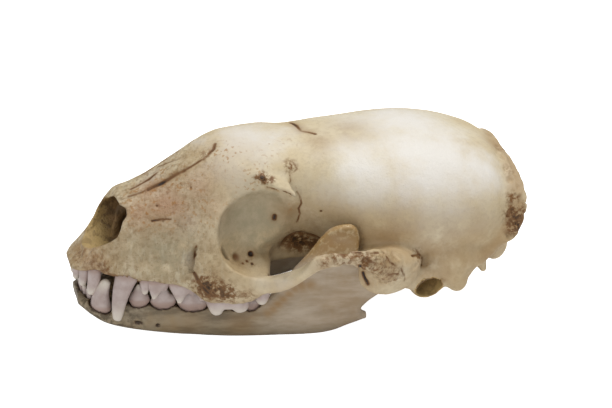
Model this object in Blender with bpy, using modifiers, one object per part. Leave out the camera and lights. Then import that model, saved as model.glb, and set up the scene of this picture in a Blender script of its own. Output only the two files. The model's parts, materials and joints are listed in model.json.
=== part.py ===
# Skull of a stone marten with its lower jaw closed: the cranium, the two halves of the jaw and 38 teeth.
# The snout points to -X, the animal's left side is -Y, and the jaw's lower border rests on z = 0.
# Places are given as station (millimetres back from the tip of the snout), out (millimetres from the
# midplane) and height (millimetres above the resting surface), and point() turns them into metres.
import math

import bmesh
import bpy
from mathutils import Matrix, Vector

MM = 0.001
MID_STATION = 39.0          # station of the middle of the skull's length, which is x = 0
SIDES = {"left": -1, "right": 1}

GAP = 0.3                   # clearance between a tooth and its socket, and in the jaw joint
CHIN_GAP = 0.15             # half the gap between the two halves of the jaw at the chin
ROOT_DEPTH = 2.0            # how deep a tooth stands in its socket
JAW_JOINT = (53.2, 11.4)    # station and height of the axis on which the jaw would open
JOINT_RADIUS = 1.8
JOINT_CUT_OUT = (9.0, 22.0)       # inner and outer end of the hollow cut for the joint

RING_POINTS = 24            # points round a section
HOLLOW_POINTS = 16          # the same for the smaller hollows and for the jaw
ORBIT_POINTS = 40
SECTION_STEP = 1.6          # distance between the sections that are skinned
TOOTH_BEND = 4              # turns the bend of a tooth, its sag at mid height, into a curve
CRANIUM_VOXEL = 0.42
JAW_VOXEL = 0.34
CRANIUM_SMOOTHING = 6
JAW_SMOOTHING = 4
CRANIUM_FACES = 2620
JAW_FACES = 520

# A section across the skull: station, out of its middle, half width, height of its widest place,
# top, bottom, fullness above the widest place and fullness below it (2 is an oval, more is squarer)
CRANIUM_SECTIONS = [
    (-0.3, 0, 2.6, 15.0, 16.4, 13.5, 2.2, 3.0),
    (0.6, 0, 4.0, 15.2, 17.4, 13.2, 2.2, 3.4),
    (2.2, 0, 5.3, 15.6, 18.7, 13.0, 2.2, 3.6),
    (4.4, 0, 6.5, 15.8, 21.0, 12.9, 2.2, 3.8),
    (7.2, 0, 7.3, 16.0, 25.1, 12.7, 2.5, 4.0),
    (8.6, 0, 7.6, 16.2, 26.4, 12.6, 2.4, 4.0),
    (11.5, 0, 7.9, 16.6, 27.4, 12.3, 2.3, 4.0),
    (15.0, 0, 8.3, 17.4, 29.0, 12.0, 2.2, 4.0),
    (19.0, 0, 8.8, 18.6, 31.4, 11.5, 2.2, 3.8),
    (23.0, 0, 9.4, 22.0, 33.6, 11.2, 2.2, 3.4),
    (27.0, 0, 9.9, 25.4, 34.6, 11.0, 2.4, 3.0),
    (31.0, 0, 10.1, 27.2, 34.5, 11.0, 2.5, 2.4),
    (35.0, 0, 9.9, 27.8, 34.5, 11.4, 2.5, 2.0),
    (38.5, 0, 9.5, 27.2, 34.4, 12.0, 2.4, 1.7),
    (42.0, 0, 10.4, 26.2, 34.5, 12.4, 2.3, 1.7),
    (46.0, 0, 12.4, 24.8, 34.4, 12.0, 2.2, 1.9),
    (51.0, 0, 14.6, 23.4, 34.3, 11.6, 2.1, 2.3),
    (56.0, 0, 16.0, 22.4, 34.3, 11.0, 2.1, 2.5),
    (61.0, 0, 16.5, 21.8, 34.0, 10.6, 2.1, 2.6),
    (66.0, 0, 16.3, 21.4, 33.1, 10.3, 2.1, 2.6),
    (70.0, 0, 15.6, 21.1, 31.8, 10.2, 2.1, 2.5),
    (73.5, 0, 14.0, 20.9, 30.3, 10.3, 2.1, 2.3),
    (75.8, 0, 11.4, 20.6, 28.6, 11.0, 2.1, 2.2),
    (77.0, 0, 8.2, 20.2, 26.4, 12.6, 2.0, 2.2),
    (77.7, 0, 4.4, 19.8, 23.4, 15.8, 2.0, 2.0),
]

# The hollow behind the nostrils, open to the front
NASAL_SECTIONS = [
    (-2.0, 0, 1.6, 20.0, 31.0, 16.6, 2.2, 2.2),
    (2.0, 0, 2.4, 20.5, 31.0, 16.4, 2.2, 2.2),
    (5.0, 0, 3.9, 21.0, 31.0, 16.8, 2.4, 2.2),
    (7.4, 0, 4.9, 21.5, 27.0, 17.2, 2.6, 2.2),
    (8.8, 0, 5.1, 21.5, 25.2, 17.3, 2.4, 2.2),
    (12.0, 0, 4.6, 21.8, 25.8, 17.2, 2.2, 2.2),
    (16.0, 0, 4.0, 22.0, 26.6, 17.4, 2.0, 2.0),
    (20.0, 0, 3.0, 22.0, 26.0, 18.2, 2.0, 2.0),
]

# The room for the brain, 1.5 inside the braincase
BRAIN_SECTIONS = [
    (42.0, 0, 7.0, 25.5, 31.4, 19.0, 2.0, 2.0),
    (46.0, 0, 10.7, 24.8, 32.8, 15.6, 2.1, 1.9),
    (51.0, 0, 13.1, 23.4, 32.8, 14.4, 2.1, 2.3),
    (56.0, 0, 14.5, 22.4, 32.8, 13.8, 2.1, 2.5),
    (61.0, 0, 15.0, 21.8, 32.5, 13.2, 2.1, 2.6),
    (66.0, 0, 14.8, 21.4, 31.6, 12.6, 2.1, 2.6),
    (70.0, 0, 13.9, 21.1, 30.1, 12.2, 2.1, 2.5),
    (73.6, 0, 11.0, 20.4, 27.6, 12.1, 2.1, 2.3),
    (75.0, 0, 7.0, 19.4, 24.8, 12.2, 2.0, 2.2),
]

# The opening for the spinal cord, between the two condyles
SPINAL_SECTIONS = [
    (71.0, 0, 4.8, 16.2, 20.0, 12.5, 2.0, 2.0),
    (84.0, 0, 5.0, 14.8, 18.8, 11.4, 2.0, 2.0),
]

# The palate runs back into two thin plates, with the way from the nose to the throat cut between them
PALATE_SECTIONS = [
    (30.0, 0, 6.2, 13.6, 16.0, 11.0, 2.0, 4.0),
    (35.0, 0, 5.4, 13.4, 16.0, 11.0, 2.0, 4.0),
    (40.0, 0, 4.9, 13.2, 17.0, 10.8, 2.0, 4.0),
    (45.0, 0, 4.6, 13.0, 17.0, 10.0, 2.0, 4.0),
    (50.0, 0, 4.2, 12.8, 16.0, 9.4, 2.0, 4.0),
    (51.5, 0, 3.8, 12.4, 15.0, 10.0, 2.0, 3.0),
]
THROAT_SECTIONS = [
    (38.5, 0, 2.2, 14.6, 16.0, 12.6, 2.0, 2.0),
    (41.0, 0, 3.1, 13.6, 15.6, 10.6, 2.2, 2.2),
    (45.0, 0, 3.3, 11.6, 14.0, 7.6, 2.6, 2.2),
    (55.0, 0, 2.9, 9.6, 11.6, 6.0, 2.6, 2.2),
]

# The cheek and the front rim of the eye socket, on each side
CHEEK_SECTIONS = [
    (14.0, 6.4, 1.2, 15.0, 17.0, 12.4, 2.0, 3.0),
    (17.0, 6.8, 3.2, 15.2, 19.6, 11.7, 2.0, 3.2),
    (19.2, 7.0, 5.0, 15.8, 21.6, 11.1, 2.2, 3.4),
    (21.5, 7.2, 5.6, 16.6, 24.4, 10.9, 2.3, 3.6),
    (24.0, 7.5, 5.8, 17.0, 27.0, 10.7, 2.3, 3.8),
    (27.0, 8.2, 6.0, 15.8, 26.4, 10.6, 2.0, 4.0),
    (30.0, 8.6, 6.1, 14.0, 18.0, 10.7, 2.0, 4.0),
    (31.8, 8.2, 5.9, 13.4, 15.6, 10.9, 2.0, 4.0),
    (33.0, 7.4, 4.4, 13.4, 15.2, 11.3, 2.0, 3.5),
    (34.0, 6.4, 2.6, 13.6, 15.0, 12.2, 2.0, 3.0),
]

# The cheekbone: station, out and height of its middle, half thickness, half height
ARCH_ROWS = [
    (26.0, 12.4, 14.4, 1.9, 2.6),
    (29.0, 14.2, 13.2, 1.7, 2.1),
    (31.5, 15.8, 13.3, 1.5, 1.75),
    (34.0, 17.4, 14.4, 1.4, 1.5),
    (36.3, 18.8, 16.3, 1.3, 1.45),
    (38.6, 20.2, 18.5, 1.2, 1.4),
    (41.0, 21.3, 19.5, 1.15, 1.25),
    (44.0, 22.0, 19.9, 1.1, 1.15),
    (46.5, 22.1, 19.8, 1.2, 1.25),
    (49.0, 21.4, 18.6, 1.7, 2.0),
    (51.2, 19.8, 16.7, 2.3, 2.6),
    (53.2, 17.6, 15.1, 2.9, 2.8),
    (55.0, 15.0, 14.2, 3.0, 2.8),
    (56.4, 12.0, 14.0, 3.0, 2.6),
]

# The ridge of bone that the upper cheek teeth stand in, in the same way
TOOTH_ROW = [
    (6.0, 6.4, 14.2, 1.3, 1.4),
    (9.0, 7.1, 13.5, 1.6, 1.5),
    (13.0, 8.3, 13.1, 1.4, 1.5),
    (17.0, 9.2, 12.7, 1.4, 1.6),
    (20.5, 10.5, 11.9, 1.5, 1.8),
    (24.0, 11.9, 10.9, 1.6, 2.2),
    (28.0, 12.9, 10.7, 1.6, 2.1),
    (30.6, 13.0, 11.6, 1.5, 1.6),
]

# The crest across the back of the head: station, out and height of its middle, half thickness, half height
CREST_ROWS = [
    (76.4, -1.5, 27.0, 1.0, 1.5),
    (76.8, 3.0, 26.5, 1.0, 1.6),
    (77.2, 6.6, 25.6, 1.0, 1.6),
    (77.4, 9.4, 24.3, 1.0, 1.7),
    (77.4, 11.4, 22.6, 1.0, 1.9),
    (77.2, 12.1, 20.0, 1.0, 1.9),
    (76.2, 12.4, 17.2, 1.0, 1.8),
    (73.8, 12.8, 14.9, 1.1, 1.6),
    (70.2, 14.0, 13.0, 1.2, 1.6),
]
CREST_HUB = (56.0, 0.0, 20.0)     # the crest stands away from this place

# Rounded forms on each side: station, out, height, and their half sizes
LUMPS = {
    "bulla": (60.2, 8.6, 11.0, 7.4, 4.8, 3.6),
    "mastoid": (65.2, 14.2, 12.4, 4.4, 2.8, 4.2),
    "condyle": (75.3, 6.6, 11.5, 2.4, 2.9, 3.6),
    "joint_roof": (53.8, 14.6, 14.6, 4.6, 5.4, 2.6),
    "canine_root": (9.4, 6.3, 15.4, 2.7, 2.3, 4.0),
}

# Tapered forms on each side: start, end, and the radius at each
SPURS = {
    "postorbital": ((34.6, 8.0, 30.0), (36.7, 12.4, 28.2), 2.3, 0.5),
    "mastoid_tip": ((65.0, 15.0, 11.6), (65.8, 16.2, 8.6), 2.5, 1.2),
    "paroccipital": ((70.4, 10.6, 13.0), (71.8, 11.7, 8.9), 2.2, 0.9),
    "ear_tube": ((60.2, 11.0, 11.0), (60.3, 16.0, 9.9), 2.9, 2.75),
    "postglenoid": ((56.4, 15.6, 14.0), (56.5, 15.6, 10.4), 1.5, 1.1),
}

# The socket of the eye: middle and half sizes
ORBIT = (31.2, 16.5, 22.9, 8.6, 9.0, 7.9)

# Round holes on each side: start, end, radius, and how narrow the hole is across
EAR_OPENING = ((60.3, 13.0, 10.6), (60.4, 19.0, 9.3), 2.05, 1.0)
CHEEK_OPENING = ((16.0, 10.9, 16.9), (26.5, 11.5, 17.4), 2.1, 0.5)

# The body of a jaw half, as sections like those of the cranium
JAW_SECTIONS = [
    (0.6, 0.8, 2.6, 6.6, 7.5, 5.6, 2.4, 2.4),
    (2.0, 1.6, 4.0, 6.2, 7.6, 4.4, 2.4, 2.4),
    (3.6, 2.3, 4.5, 5.6, 7.6, 3.5, 2.4, 2.4),
    (5.6, 2.9, 3.8, 5.2, 7.4, 2.8, 2.2, 2.4),
    (8.0, 3.7, 3.2, 4.8, 7.2, 1.9, 2.2, 2.4),
    (10.5, 4.8, 2.9, 4.4, 7.0, 1.4, 2.4, 2.4),
    (13.0, 5.8, 2.3, 4.0, 6.8, 1.1, 2.4, 2.4),
    (16.0, 6.5, 2.1, 3.7, 6.6, 0.7, 2.4, 2.4),
    (20.0, 7.4, 2.0, 3.4, 6.3, 0.4, 2.4, 2.4),
    (24.0, 8.2, 2.0, 3.2, 6.1, 0.0, 2.4, 2.4),
    (28.0, 9.0, 2.0, 3.1, 6.1, -0.2, 2.4, 2.3),
    (32.0, 9.8, 1.9, 3.1, 6.4, -0.3, 2.4, 2.2),
    (36.0, 10.5, 1.8, 3.0, 6.4, -0.3, 2.4, 2.2),
    (40.0, 11.2, 1.6, 2.7, 5.4, -0.3, 2.4, 2.2),
    (43.5, 11.9, 1.3, 2.6, 4.4, 0.2, 2.4, 2.2),
    (47.0, 12.5, 1.0, 2.8, 3.9, 1.7, 2.2, 2.2),
    (49.8, 13.0, 0.6, 3.1, 3.7, 2.5, 2.0, 2.0),
]

# Outline of the upright part of a jaw half, seen from the side: station and height
RAMUS_OUTLINE = [
    (31.0, 4.0), (34.8, 8.4), (37.8, 12.6), (40.4, 16.9), (41.9, 19.8), (43.5, 21.6), (45.3, 22.3),
    (47.2, 22.3), (48.3, 21.2), (48.6, 19.2), (48.4, 16.4), (48.7, 13.8), (50.2, 12.0), (52.8, 12.0),
    (54.6, 11.2), (53.6, 8.9), (51.6, 7.2), (50.2, 6.0), (49.2, 4.8), (48.4, 2.8), (44.0, 1.4),
    (36.0, 0.8),
]
RAMUS_FOOT = (31.0, 9.8)          # station and out of the front of its foot
RAMUS_TURN = math.radians(8.0)    # how far its plane turns out from the midplane
RAMUS_LEAN = math.radians(6.5)    # how far its top leans outward
RAMUS_THICKNESS = 1.7
JAW_CONDYLE_OUT = (12.2, 18.6)    # inner and outer end of the condyle

# Corners of the blocks that cut the jaw at the chin and under its resting face
CHIN_BLOCK = ((-5, -12, -5), (30, 12, 20))
GROUND_BLOCK = ((-5, -30, -4), (60, 30, 0))

# Teeth with one point: base, tip, half length along the row, half width across it, turn of the row, bend
PEG_TEETH = {
    "upper_incisor_1": ((0.3, 1.0, 14.2), (-0.7, 1.05, 9.6), 0.72, 0.85, 88, 0.2),
    "upper_incisor_2": ((1.1, 2.75, 14.2), (0.2, 2.75, 9.2), 0.72, 0.95, 72, 0.2),
    "upper_incisor_3": ((2.9, 4.4, 14.0), (1.5, 4.3, 8.2), 1.05, 1.15, 52, 0.3),
    "upper_canine": ((8.3, 7.3, 13.2), (6.0, 8.1, 5.2), 1.75, 1.25, 16, 0.5),
    "upper_premolar_1": ((11.0, 8.0, 12.4), (11.0, 8.0, 10.2), 0.75, 0.65, 12, 0.0),
    "upper_molar_1": ((30.8, 11.3, 11.0), (30.8, 11.3, 8.6), 2.9, 1.45, 100, 0.0),
    "lower_incisor_1": ((2.5, 0.68, 7.4), (2.2, 0.68, 10.0), 0.42, 0.55, 90, 0.0),
    "lower_incisor_2": ((3.0, 1.85, 7.4), (2.6, 1.85, 9.9), 0.42, 0.6, 80, 0.0),
    "lower_incisor_3": ((2.7, 3.05, 7.4), (2.3, 3.0, 9.7), 0.42, 0.6, 70, 0.0),
    "lower_canine": ((3.9, 5.2, 7.0), (4.9, 5.9, 12.0), 1.7, 1.25, 30, -0.5),
    "lower_premolar_1": ((7.9, 5.3, 7.2), (7.9, 5.3, 8.8), 0.7, 0.6, 12, 0.0),
    "lower_molar_2": ((33.0, 10.2, 6.4), (33.0, 10.2, 7.9), 0.9, 0.85, 15, 0.0),
}

# Teeth with a cutting edge: front and rear end at the gum, half thickness, and the edge as
# (part of the length, height of the crown)
BLADE_TEETH = {
    "upper_premolar_2": ((12.1, 8.3, 12.2), (15.2, 8.8, 11.9), 0.8,
                         [(0, 1.0), (0.25, 3.1), (0.6, 1.8), (1, 0.7)]),
    "upper_premolar_3": ((15.6, 8.9, 11.8), (19.8, 10.2, 11.2), 0.85,
                         [(0, 1.2), (0.33, 3.5), (0.65, 2.0), (1, 0.7)]),
    "upper_premolar_4": ((20.3, 10.6, 11.0), (28.7, 13.0, 10.9), 1.15,
                         [(0, 1.4), (0.16, 2.8), (0.33, 4.8), (0.55, 3.0), (0.88, 4.0), (1, 2.0)]),
    "lower_premolar_2": ((9.1, 5.9, 7.2), (11.9, 6.4, 7.0), 0.75, [(0, 0.9), (0.45, 2.7), (1, 0.8)]),
    "lower_premolar_3": ((12.3, 6.5, 6.9), (16.6, 7.2, 6.6), 0.75, [(0, 1.0), (0.47, 3.4), (1, 0.9)]),
    "lower_premolar_4": ((17.0, 7.3, 6.5), (22.0, 8.2, 6.3), 0.85,
                         [(0, 1.1), (0.5, 3.6), (0.8, 2.1), (1, 1.0)]),
    "lower_molar_1": ((22.4, 8.3, 6.2), (31.4, 10.0, 6.2), 0.9,
                      [(0, 1.8), (0.22, 3.4), (0.36, 2.6), (0.5, 3.8), (0.68, 1.6), (1, 0.9)]),
}


def point(station, out, height):
    return Vector(((station - MID_STATION) * MM, out * MM, height * MM))


def signed_power(value, power):
    return math.copysign(abs(value) ** power, value)


def smooth_rows(rows, step=SECTION_STEP):
    """Rows read off a smooth curve through the given rows, about one step of station apart."""
    result = []
    for index in range(len(rows) - 1):
        before = rows[max(index - 1, 0)]
        start, end = rows[index], rows[index + 1]
        after = rows[min(index + 2, len(rows) - 1)]
        count = max(1, round(math.dist(start[:3], end[:3]) / step))
        for part in range(count):
            t = part / count
            result.append([
                0.5 * (2 * b + (c - a) * t + (2 * a - 5 * b + 4 * c - d) * t ** 2
                       + (3 * b - a - 3 * c + d) * t ** 3)
                for a, b, c, d in zip(before, start, end, after)
            ])
    result.append(list(rows[-1]))
    return result


def skin(rings):
    """A closed mesh over rings that all have the same number of points."""
    mesh = bmesh.new()
    loops = [[mesh.verts.new(place) for place in ring] for ring in rings]
    count = len(loops[0])
    for first, second in zip(loops, loops[1:]):
        for index in range(count):
            after = (index + 1) % count
            mesh.faces.new((first[index], first[after], second[after], second[index]))
    mesh.faces.new(loops[0])
    mesh.faces.new(loops[-1])
    bmesh.ops.recalc_face_normals(mesh, faces=mesh.faces)
    return mesh


def section(row, side, count):
    station, out, half_width, widest, top, bottom, above, below = row
    ring = []
    for index in range(count):
        angle = 2 * math.pi * index / count
        up = math.sin(angle) > 0
        power = 2 / (above if up else below)
        reach = top - widest if up else widest - bottom
        across = out + half_width * signed_power(math.cos(angle), power)
        ring.append(point(station, side * across, widest + reach * signed_power(math.sin(angle), power)))
    return ring


def loft(rows, side=1, count=RING_POINTS):
    """A closed form through sections across the skull."""
    return skin([section(row, side, count) for row in smooth_rows(rows)])


def ribbon(rows, side, hub=None, count=12):
    """A closed tube along rows of station, out, height, half thickness and half height. Its height is
    upright, or points away from the hub where one is given."""
    middles = [point(row[0], side * row[1], row[2]) for row in rows]
    rings = []
    for index, row in enumerate(rows):
        along = (middles[min(index + 1, len(rows) - 1)] - middles[max(index - 1, 0)]).normalized()
        rise = middles[index] - hub if hub else Vector((0, 0, 1))
        tall = (rise - along * rise.dot(along)).normalized()
        thick = along.cross(tall)
        ring = []
        for step in range(count):
            angle = 2 * math.pi * step / count
            offset = thick * (row[3] * MM * math.cos(angle)) + tall * (row[4] * MM * math.sin(angle))
            ring.append(middles[index] + offset)
        rings.append(ring)
    return skin(rings)


def ball(station, out, height, half_x, half_y, half_z, side, segments=24):
    mesh = bmesh.new()
    bmesh.ops.create_uvsphere(mesh, u_segments=segments, v_segments=segments // 2, radius=MM)
    bmesh.ops.scale(mesh, vec=(half_x, half_y, half_z), verts=mesh.verts)
    bmesh.ops.translate(mesh, vec=point(station, side * out, height), verts=mesh.verts)
    return mesh


def rod(start, end, start_radius, end_radius, side, narrow=1.0, segments=16):
    """A round bar or cone between two places, narrow being its width across as part of its height."""
    first = point(start[0], side * start[1], start[2])
    last = point(end[0], side * end[1], end[2])
    mesh = bmesh.new()
    bmesh.ops.create_cone(mesh, cap_ends=True, segments=segments, depth=(last - first).length,
                          radius1=start_radius * MM, radius2=end_radius * MM)
    turn = (last - first).to_track_quat("Z", "X").to_matrix().to_4x4()
    place = Matrix.Translation((first + last) / 2) @ turn @ Matrix.Diagonal((1, narrow, 1, 1))
    bmesh.ops.transform(mesh, matrix=place, verts=mesh.verts)
    return mesh


def box(low, high):
    mesh = bmesh.new()
    bmesh.ops.create_cube(mesh, size=1.0)
    bmesh.ops.scale(mesh, vec=[(b - a) * MM for a, b in zip(low, high)], verts=mesh.verts)
    bmesh.ops.translate(mesh, vec=point(*[(a + b) / 2 for a, b in zip(low, high)]), verts=mesh.verts)
    return mesh


def joined(pieces):
    """One mesh that holds all the given ones."""
    total = bmesh.new()
    for piece in pieces:
        copy = bpy.data.meshes.new("piece")
        piece.to_mesh(copy)
        total.from_mesh(copy)
        piece.free()
        bpy.data.meshes.remove(copy)
    return total


def make_object(name, mesh, collection, material=None):
    data = bpy.data.meshes.new(name)
    mesh.to_mesh(data)
    mesh.free()
    thing = bpy.data.objects.new(name, data)
    collection.objects.link(thing)
    if material:
        data.materials.append(material)
    return thing


def make_cutter(name, mesh, collection):
    thing = make_object(name, mesh, collection)
    thing.hide_render = True
    thing.display_type = "WIRE"
    return thing


def cut(thing, name, cutter):
    """Take a cutter, or every cutter in a collection, out of the thing."""
    boolean = thing.modifiers.new(name, "BOOLEAN")
    boolean.operation = "DIFFERENCE"
    if isinstance(cutter, bpy.types.Collection):
        boolean.operand_type = "COLLECTION"
        boolean.collection = cutter
    else:
        boolean.object = cutter


def fuse(thing, voxel, smoothing):
    """Grow the joined forms into one smooth body."""
    remesh = thing.modifiers.new("grown together", "REMESH")
    remesh.mode = "VOXEL"
    remesh.voxel_size = voxel * MM
    smooth = thing.modifiers.new("softened", "SMOOTH")
    smooth.factor = 0.5
    smooth.iterations = smoothing


def thin_out(thing, faces):
    """Keep about this many triangles."""
    decimate = thing.modifiers.new("thinned out", "DECIMATE")
    decimate.ratio = 1.0
    evaluated = thing.evaluated_get(bpy.context.evaluated_depsgraph_get())
    decimate.ratio = faces / sum(len(face.vertices) - 2 for face in evaluated.data.polygons)


def surface_material(name, colour, roughness):
    material = bpy.data.materials.new(name)
    material.use_nodes = True
    surface = material.node_tree.nodes["Principled BSDF"]
    surface.inputs["Base Color"].default_value = (*colour, 1)
    surface.inputs["Roughness"].default_value = roughness
    surface.inputs["Metallic"].default_value = 0
    return material


def peg_tooth(values, side, grow=0.0, count=7):
    """A tooth with one point, such as an incisor or a canine, or a low molar."""
    base, tip, half_length, half_width, turn, bend = values
    first, last = Vector(base), Vector(tip)
    axis = (last - first).normalized()
    height = (last - first).length
    along = Vector((math.cos(math.radians(turn)), math.sin(math.radians(turn)), 0))
    across = Vector((-along.y, along.x, 0))
    profile = [(-ROOT_DEPTH - grow, 0.7), (0, 0.94), (height * 0.25, 1.0)]
    if height < 2.6:
        profile += [(height * 0.8, 0.92), (height + grow, 0.6)]
    else:
        profile += [(height * 0.6, 0.76), (height + grow, 0.16)]
    rings = []
    for rise, size in profile:
        part = max(rise, 0) / height
        middle = first + axis * rise + along * (bend * TOOTH_BEND * part * (1 - part))
        ring = []
        for step in range(count):
            angle = 2 * math.pi * step / count
            place = middle + along * ((half_length * size + grow) * math.cos(angle))
            place += across * ((half_width * size + grow) * math.sin(angle))
            ring.append(point(place.x, side * place.y, place.z))
        rings.append(ring)
    return skin(rings)


def blade_tooth(values, side, grow=0.0):
    """A tooth with a cutting edge along the row, such as a premolar."""
    front, rear, half_thick, edge = values
    first, last = Vector(front), Vector(rear)
    row = last - first
    along = row.normalized()
    across = Vector((-along.y, along.x, 0)).normalized()
    down = -1 if front[2] > 9 else 1
    rings = []
    for part, rise in edge:
        middle = first + row * part + along * {0: -grow, 1: grow}.get(part, 0.0)
        wide = half_thick * (0.55 if part in (0, 1) else 1.0) + grow
        root = -ROOT_DEPTH - grow
        ridge = 0.22 * wide + 0.5 * grow
        rise += grow
        half = [(0.6 * wide, root), (wide, 0.3 * rise), (ridge, rise)]
        ring = []
        for sideways, height in half + [(-sideways, height) for sideways, height in reversed(half)]:
            place = middle + across * sideways + Vector((0, 0, down * height))
            ring.append(point(place.x, side * place.y, place.z))
        rings.append(ring)
    return skin(rings)


def tooth_mesh(name, side, grow=0.0):
    if name in PEG_TEETH:
        return peg_tooth(PEG_TEETH[name], side, grow)
    return blade_tooth(BLADE_TEETH[name], side, grow)


def build_teeth(collection, cutters, enamel):
    """Make every tooth, and its socket as a cutter in a collection for the bone that holds it."""
    sockets = {}
    for side_name, side in SIDES.items():
        for name in list(PEG_TEETH) + list(BLADE_TEETH):
            bone = "cranium" if name.startswith("upper") else "mandible_" + side_name
            if bone not in sockets:
                sockets[bone] = bpy.data.collections.new("sockets of " + bone)
                cutters.children.link(sockets[bone])
            make_object(name + "_" + side_name, tooth_mesh(name, side), collection, enamel)
            make_cutter("socket_" + name + "_" + side_name, tooth_mesh(name, side, GAP), sockets[bone])
    return sockets


def cranium_forms():
    forms = [loft(CRANIUM_SECTIONS), loft(PALATE_SECTIONS)]
    for side in SIDES.values():
        forms.append(loft(CHEEK_SECTIONS, side))
        forms.append(ribbon(smooth_rows(ARCH_ROWS), side))
        forms.append(ribbon(smooth_rows(TOOTH_ROW), side))
        forms.append(ribbon(smooth_rows(CREST_ROWS), side, hub=point(*CREST_HUB)))
        forms += [ball(*values, side) for values in LUMPS.values()]
        forms += [rod(*values, side) for values in SPURS.values()]
    return forms


def both_sides(start, end, radius, narrow=1.0, segments=12):
    return joined([rod(start, end, radius, radius, side, narrow, segments) for side in SIDES.values()])


def build_cranium(collection, cutters, sockets, bone):
    cranium = make_object("cranium", joined(cranium_forms()), collection, bone)
    fuse(cranium, CRANIUM_VOXEL, CRANIUM_SMOOTHING)
    orbits = joined([ball(*ORBIT, side, ORBIT_POINTS) for side in SIDES.values()])
    cut(cranium, "orbits", make_cutter("orbits", orbits, cutters))
    cut(cranium, "nasal opening", make_cutter("nasal_opening", loft(NASAL_SECTIONS), cutters))
    cut(cranium, "throat", make_cutter("throat", loft(THROAT_SECTIONS), cutters))
    thin_out(cranium, CRANIUM_FACES)
    station, height = JAW_JOINT
    inner, outer = JOINT_CUT_OUT
    joints = both_sides((station, inner, height), (station, outer, height), JOINT_RADIUS + GAP)
    cut(cranium, "jaw joints", make_cutter("jaw_joints", joints, cutters))
    brain = loft(BRAIN_SECTIONS, count=HOLLOW_POINTS)
    cut(cranium, "room for the brain", make_cutter("brain", brain, cutters))
    spine = loft(SPINAL_SECTIONS, count=HOLLOW_POINTS)
    cut(cranium, "opening for the spine", make_cutter("spine", spine, cutters))
    cut(cranium, "ear openings", make_cutter("ears", both_sides(*EAR_OPENING), cutters))
    cut(cranium, "cheek openings", make_cutter("cheeks", both_sides(*CHEEK_OPENING), cutters))
    cut(cranium, "sockets", sockets["cranium"])


def ramus(side):
    """The upright plate of the jaw, a flat outline with a thickness."""
    curve = bpy.data.curves.new("ramus", "CURVE")
    curve.dimensions = "2D"
    curve.fill_mode = "BOTH"
    curve.extrude = RAMUS_THICKNESS / 2 * MM
    spline = curve.splines.new("POLY")
    spline.points.add(len(RAMUS_OUTLINE) - 1)
    for control, (station, height) in zip(spline.points, RAMUS_OUTLINE):
        control.co = ((station - RAMUS_FOOT[0]) * MM, height * MM, 0, 1)
    spline.use_cyclic_u = True
    outline = bpy.data.objects.new("ramus outline", curve)
    bpy.context.scene.collection.objects.link(outline)
    data = bpy.data.meshes.new_from_object(outline.evaluated_get(bpy.context.evaluated_depsgraph_get()))
    bpy.data.objects.remove(outline)
    mesh = bmesh.new()
    mesh.from_mesh(data)
    bpy.data.meshes.remove(data)
    bmesh.ops.remove_doubles(mesh, verts=mesh.verts, dist=0.00001)
    place = Matrix.Translation(point(RAMUS_FOOT[0], side * RAMUS_FOOT[1], 0))
    place @= Matrix.Rotation(side * RAMUS_TURN, 4, "Z")
    place @= Matrix.Rotation(math.pi / 2 - side * RAMUS_LEAN, 4, "X")
    bmesh.ops.transform(mesh, matrix=place, verts=mesh.verts)
    bmesh.ops.recalc_face_normals(mesh, faces=mesh.faces)
    return mesh


def build_mandible(side_name, collection, cutters, sockets, bone):
    side = SIDES[side_name]
    station, height = JAW_JOINT
    inner, outer = JAW_CONDYLE_OUT
    condyle = rod((station, inner, height), (station, outer, height), JOINT_RADIUS, JOINT_RADIUS, side)
    forms = [loft(JAW_SECTIONS, side, HOLLOW_POINTS), ramus(side), condyle]
    mandible = make_object("mandible_" + side_name, joined(forms), collection, bone)
    fuse(mandible, JAW_VOXEL, JAW_SMOOTHING)
    thin_out(mandible, JAW_FACES)
    low, high = [list(corner) for corner in CHIN_BLOCK]
    (low if side < 0 else high)[1] = side * CHIN_GAP
    chin = box(low, high)
    ground = box(*GROUND_BLOCK)
    cut(mandible, "chin joint", make_cutter("chin_joint_" + side_name, chin, cutters))
    cut(mandible, "resting face", make_cutter("resting_face_" + side_name, ground, cutters))
    cut(mandible, "sockets", sockets["mandible_" + side_name])


def main():
    for thing in list(bpy.data.objects):
        bpy.data.objects.remove(thing)
    collection = bpy.data.collections.new("stone marten skull")
    cutters = bpy.data.collections.new("cutters")
    bpy.context.scene.collection.children.link(collection)
    bpy.context.scene.collection.children.link(cutters)
    dry_bone = surface_material("dry bone", (0.72, 0.62, 0.47), 0.6)
    jaw_bone = surface_material("jaw bone", (0.45, 0.38, 0.29), 0.6)
    enamel = surface_material("enamel", (0.72, 0.64, 0.6), 0.3)
    sockets = build_teeth(collection, cutters, enamel)
    build_cranium(collection, cutters, sockets, dry_bone)
    for side_name in SIDES:
        build_mandible(side_name, collection, cutters, sockets, jaw_bone)


main()
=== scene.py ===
# The dry skull of a stone marten with its lower jaw closed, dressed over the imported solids.
# Places on it are given in millimetres: station (back from the snout's tip), out (from the midplane)
# and height (above the surface that the jaw rests on). What lies on the bone, such as a suture or a stain,
# is placed by where the photograph shows it, and is then found on the bone itself.
import copy
import json
import math

import bpy
import numpy as np
import openvdb
from mathutils import Matrix

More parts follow.
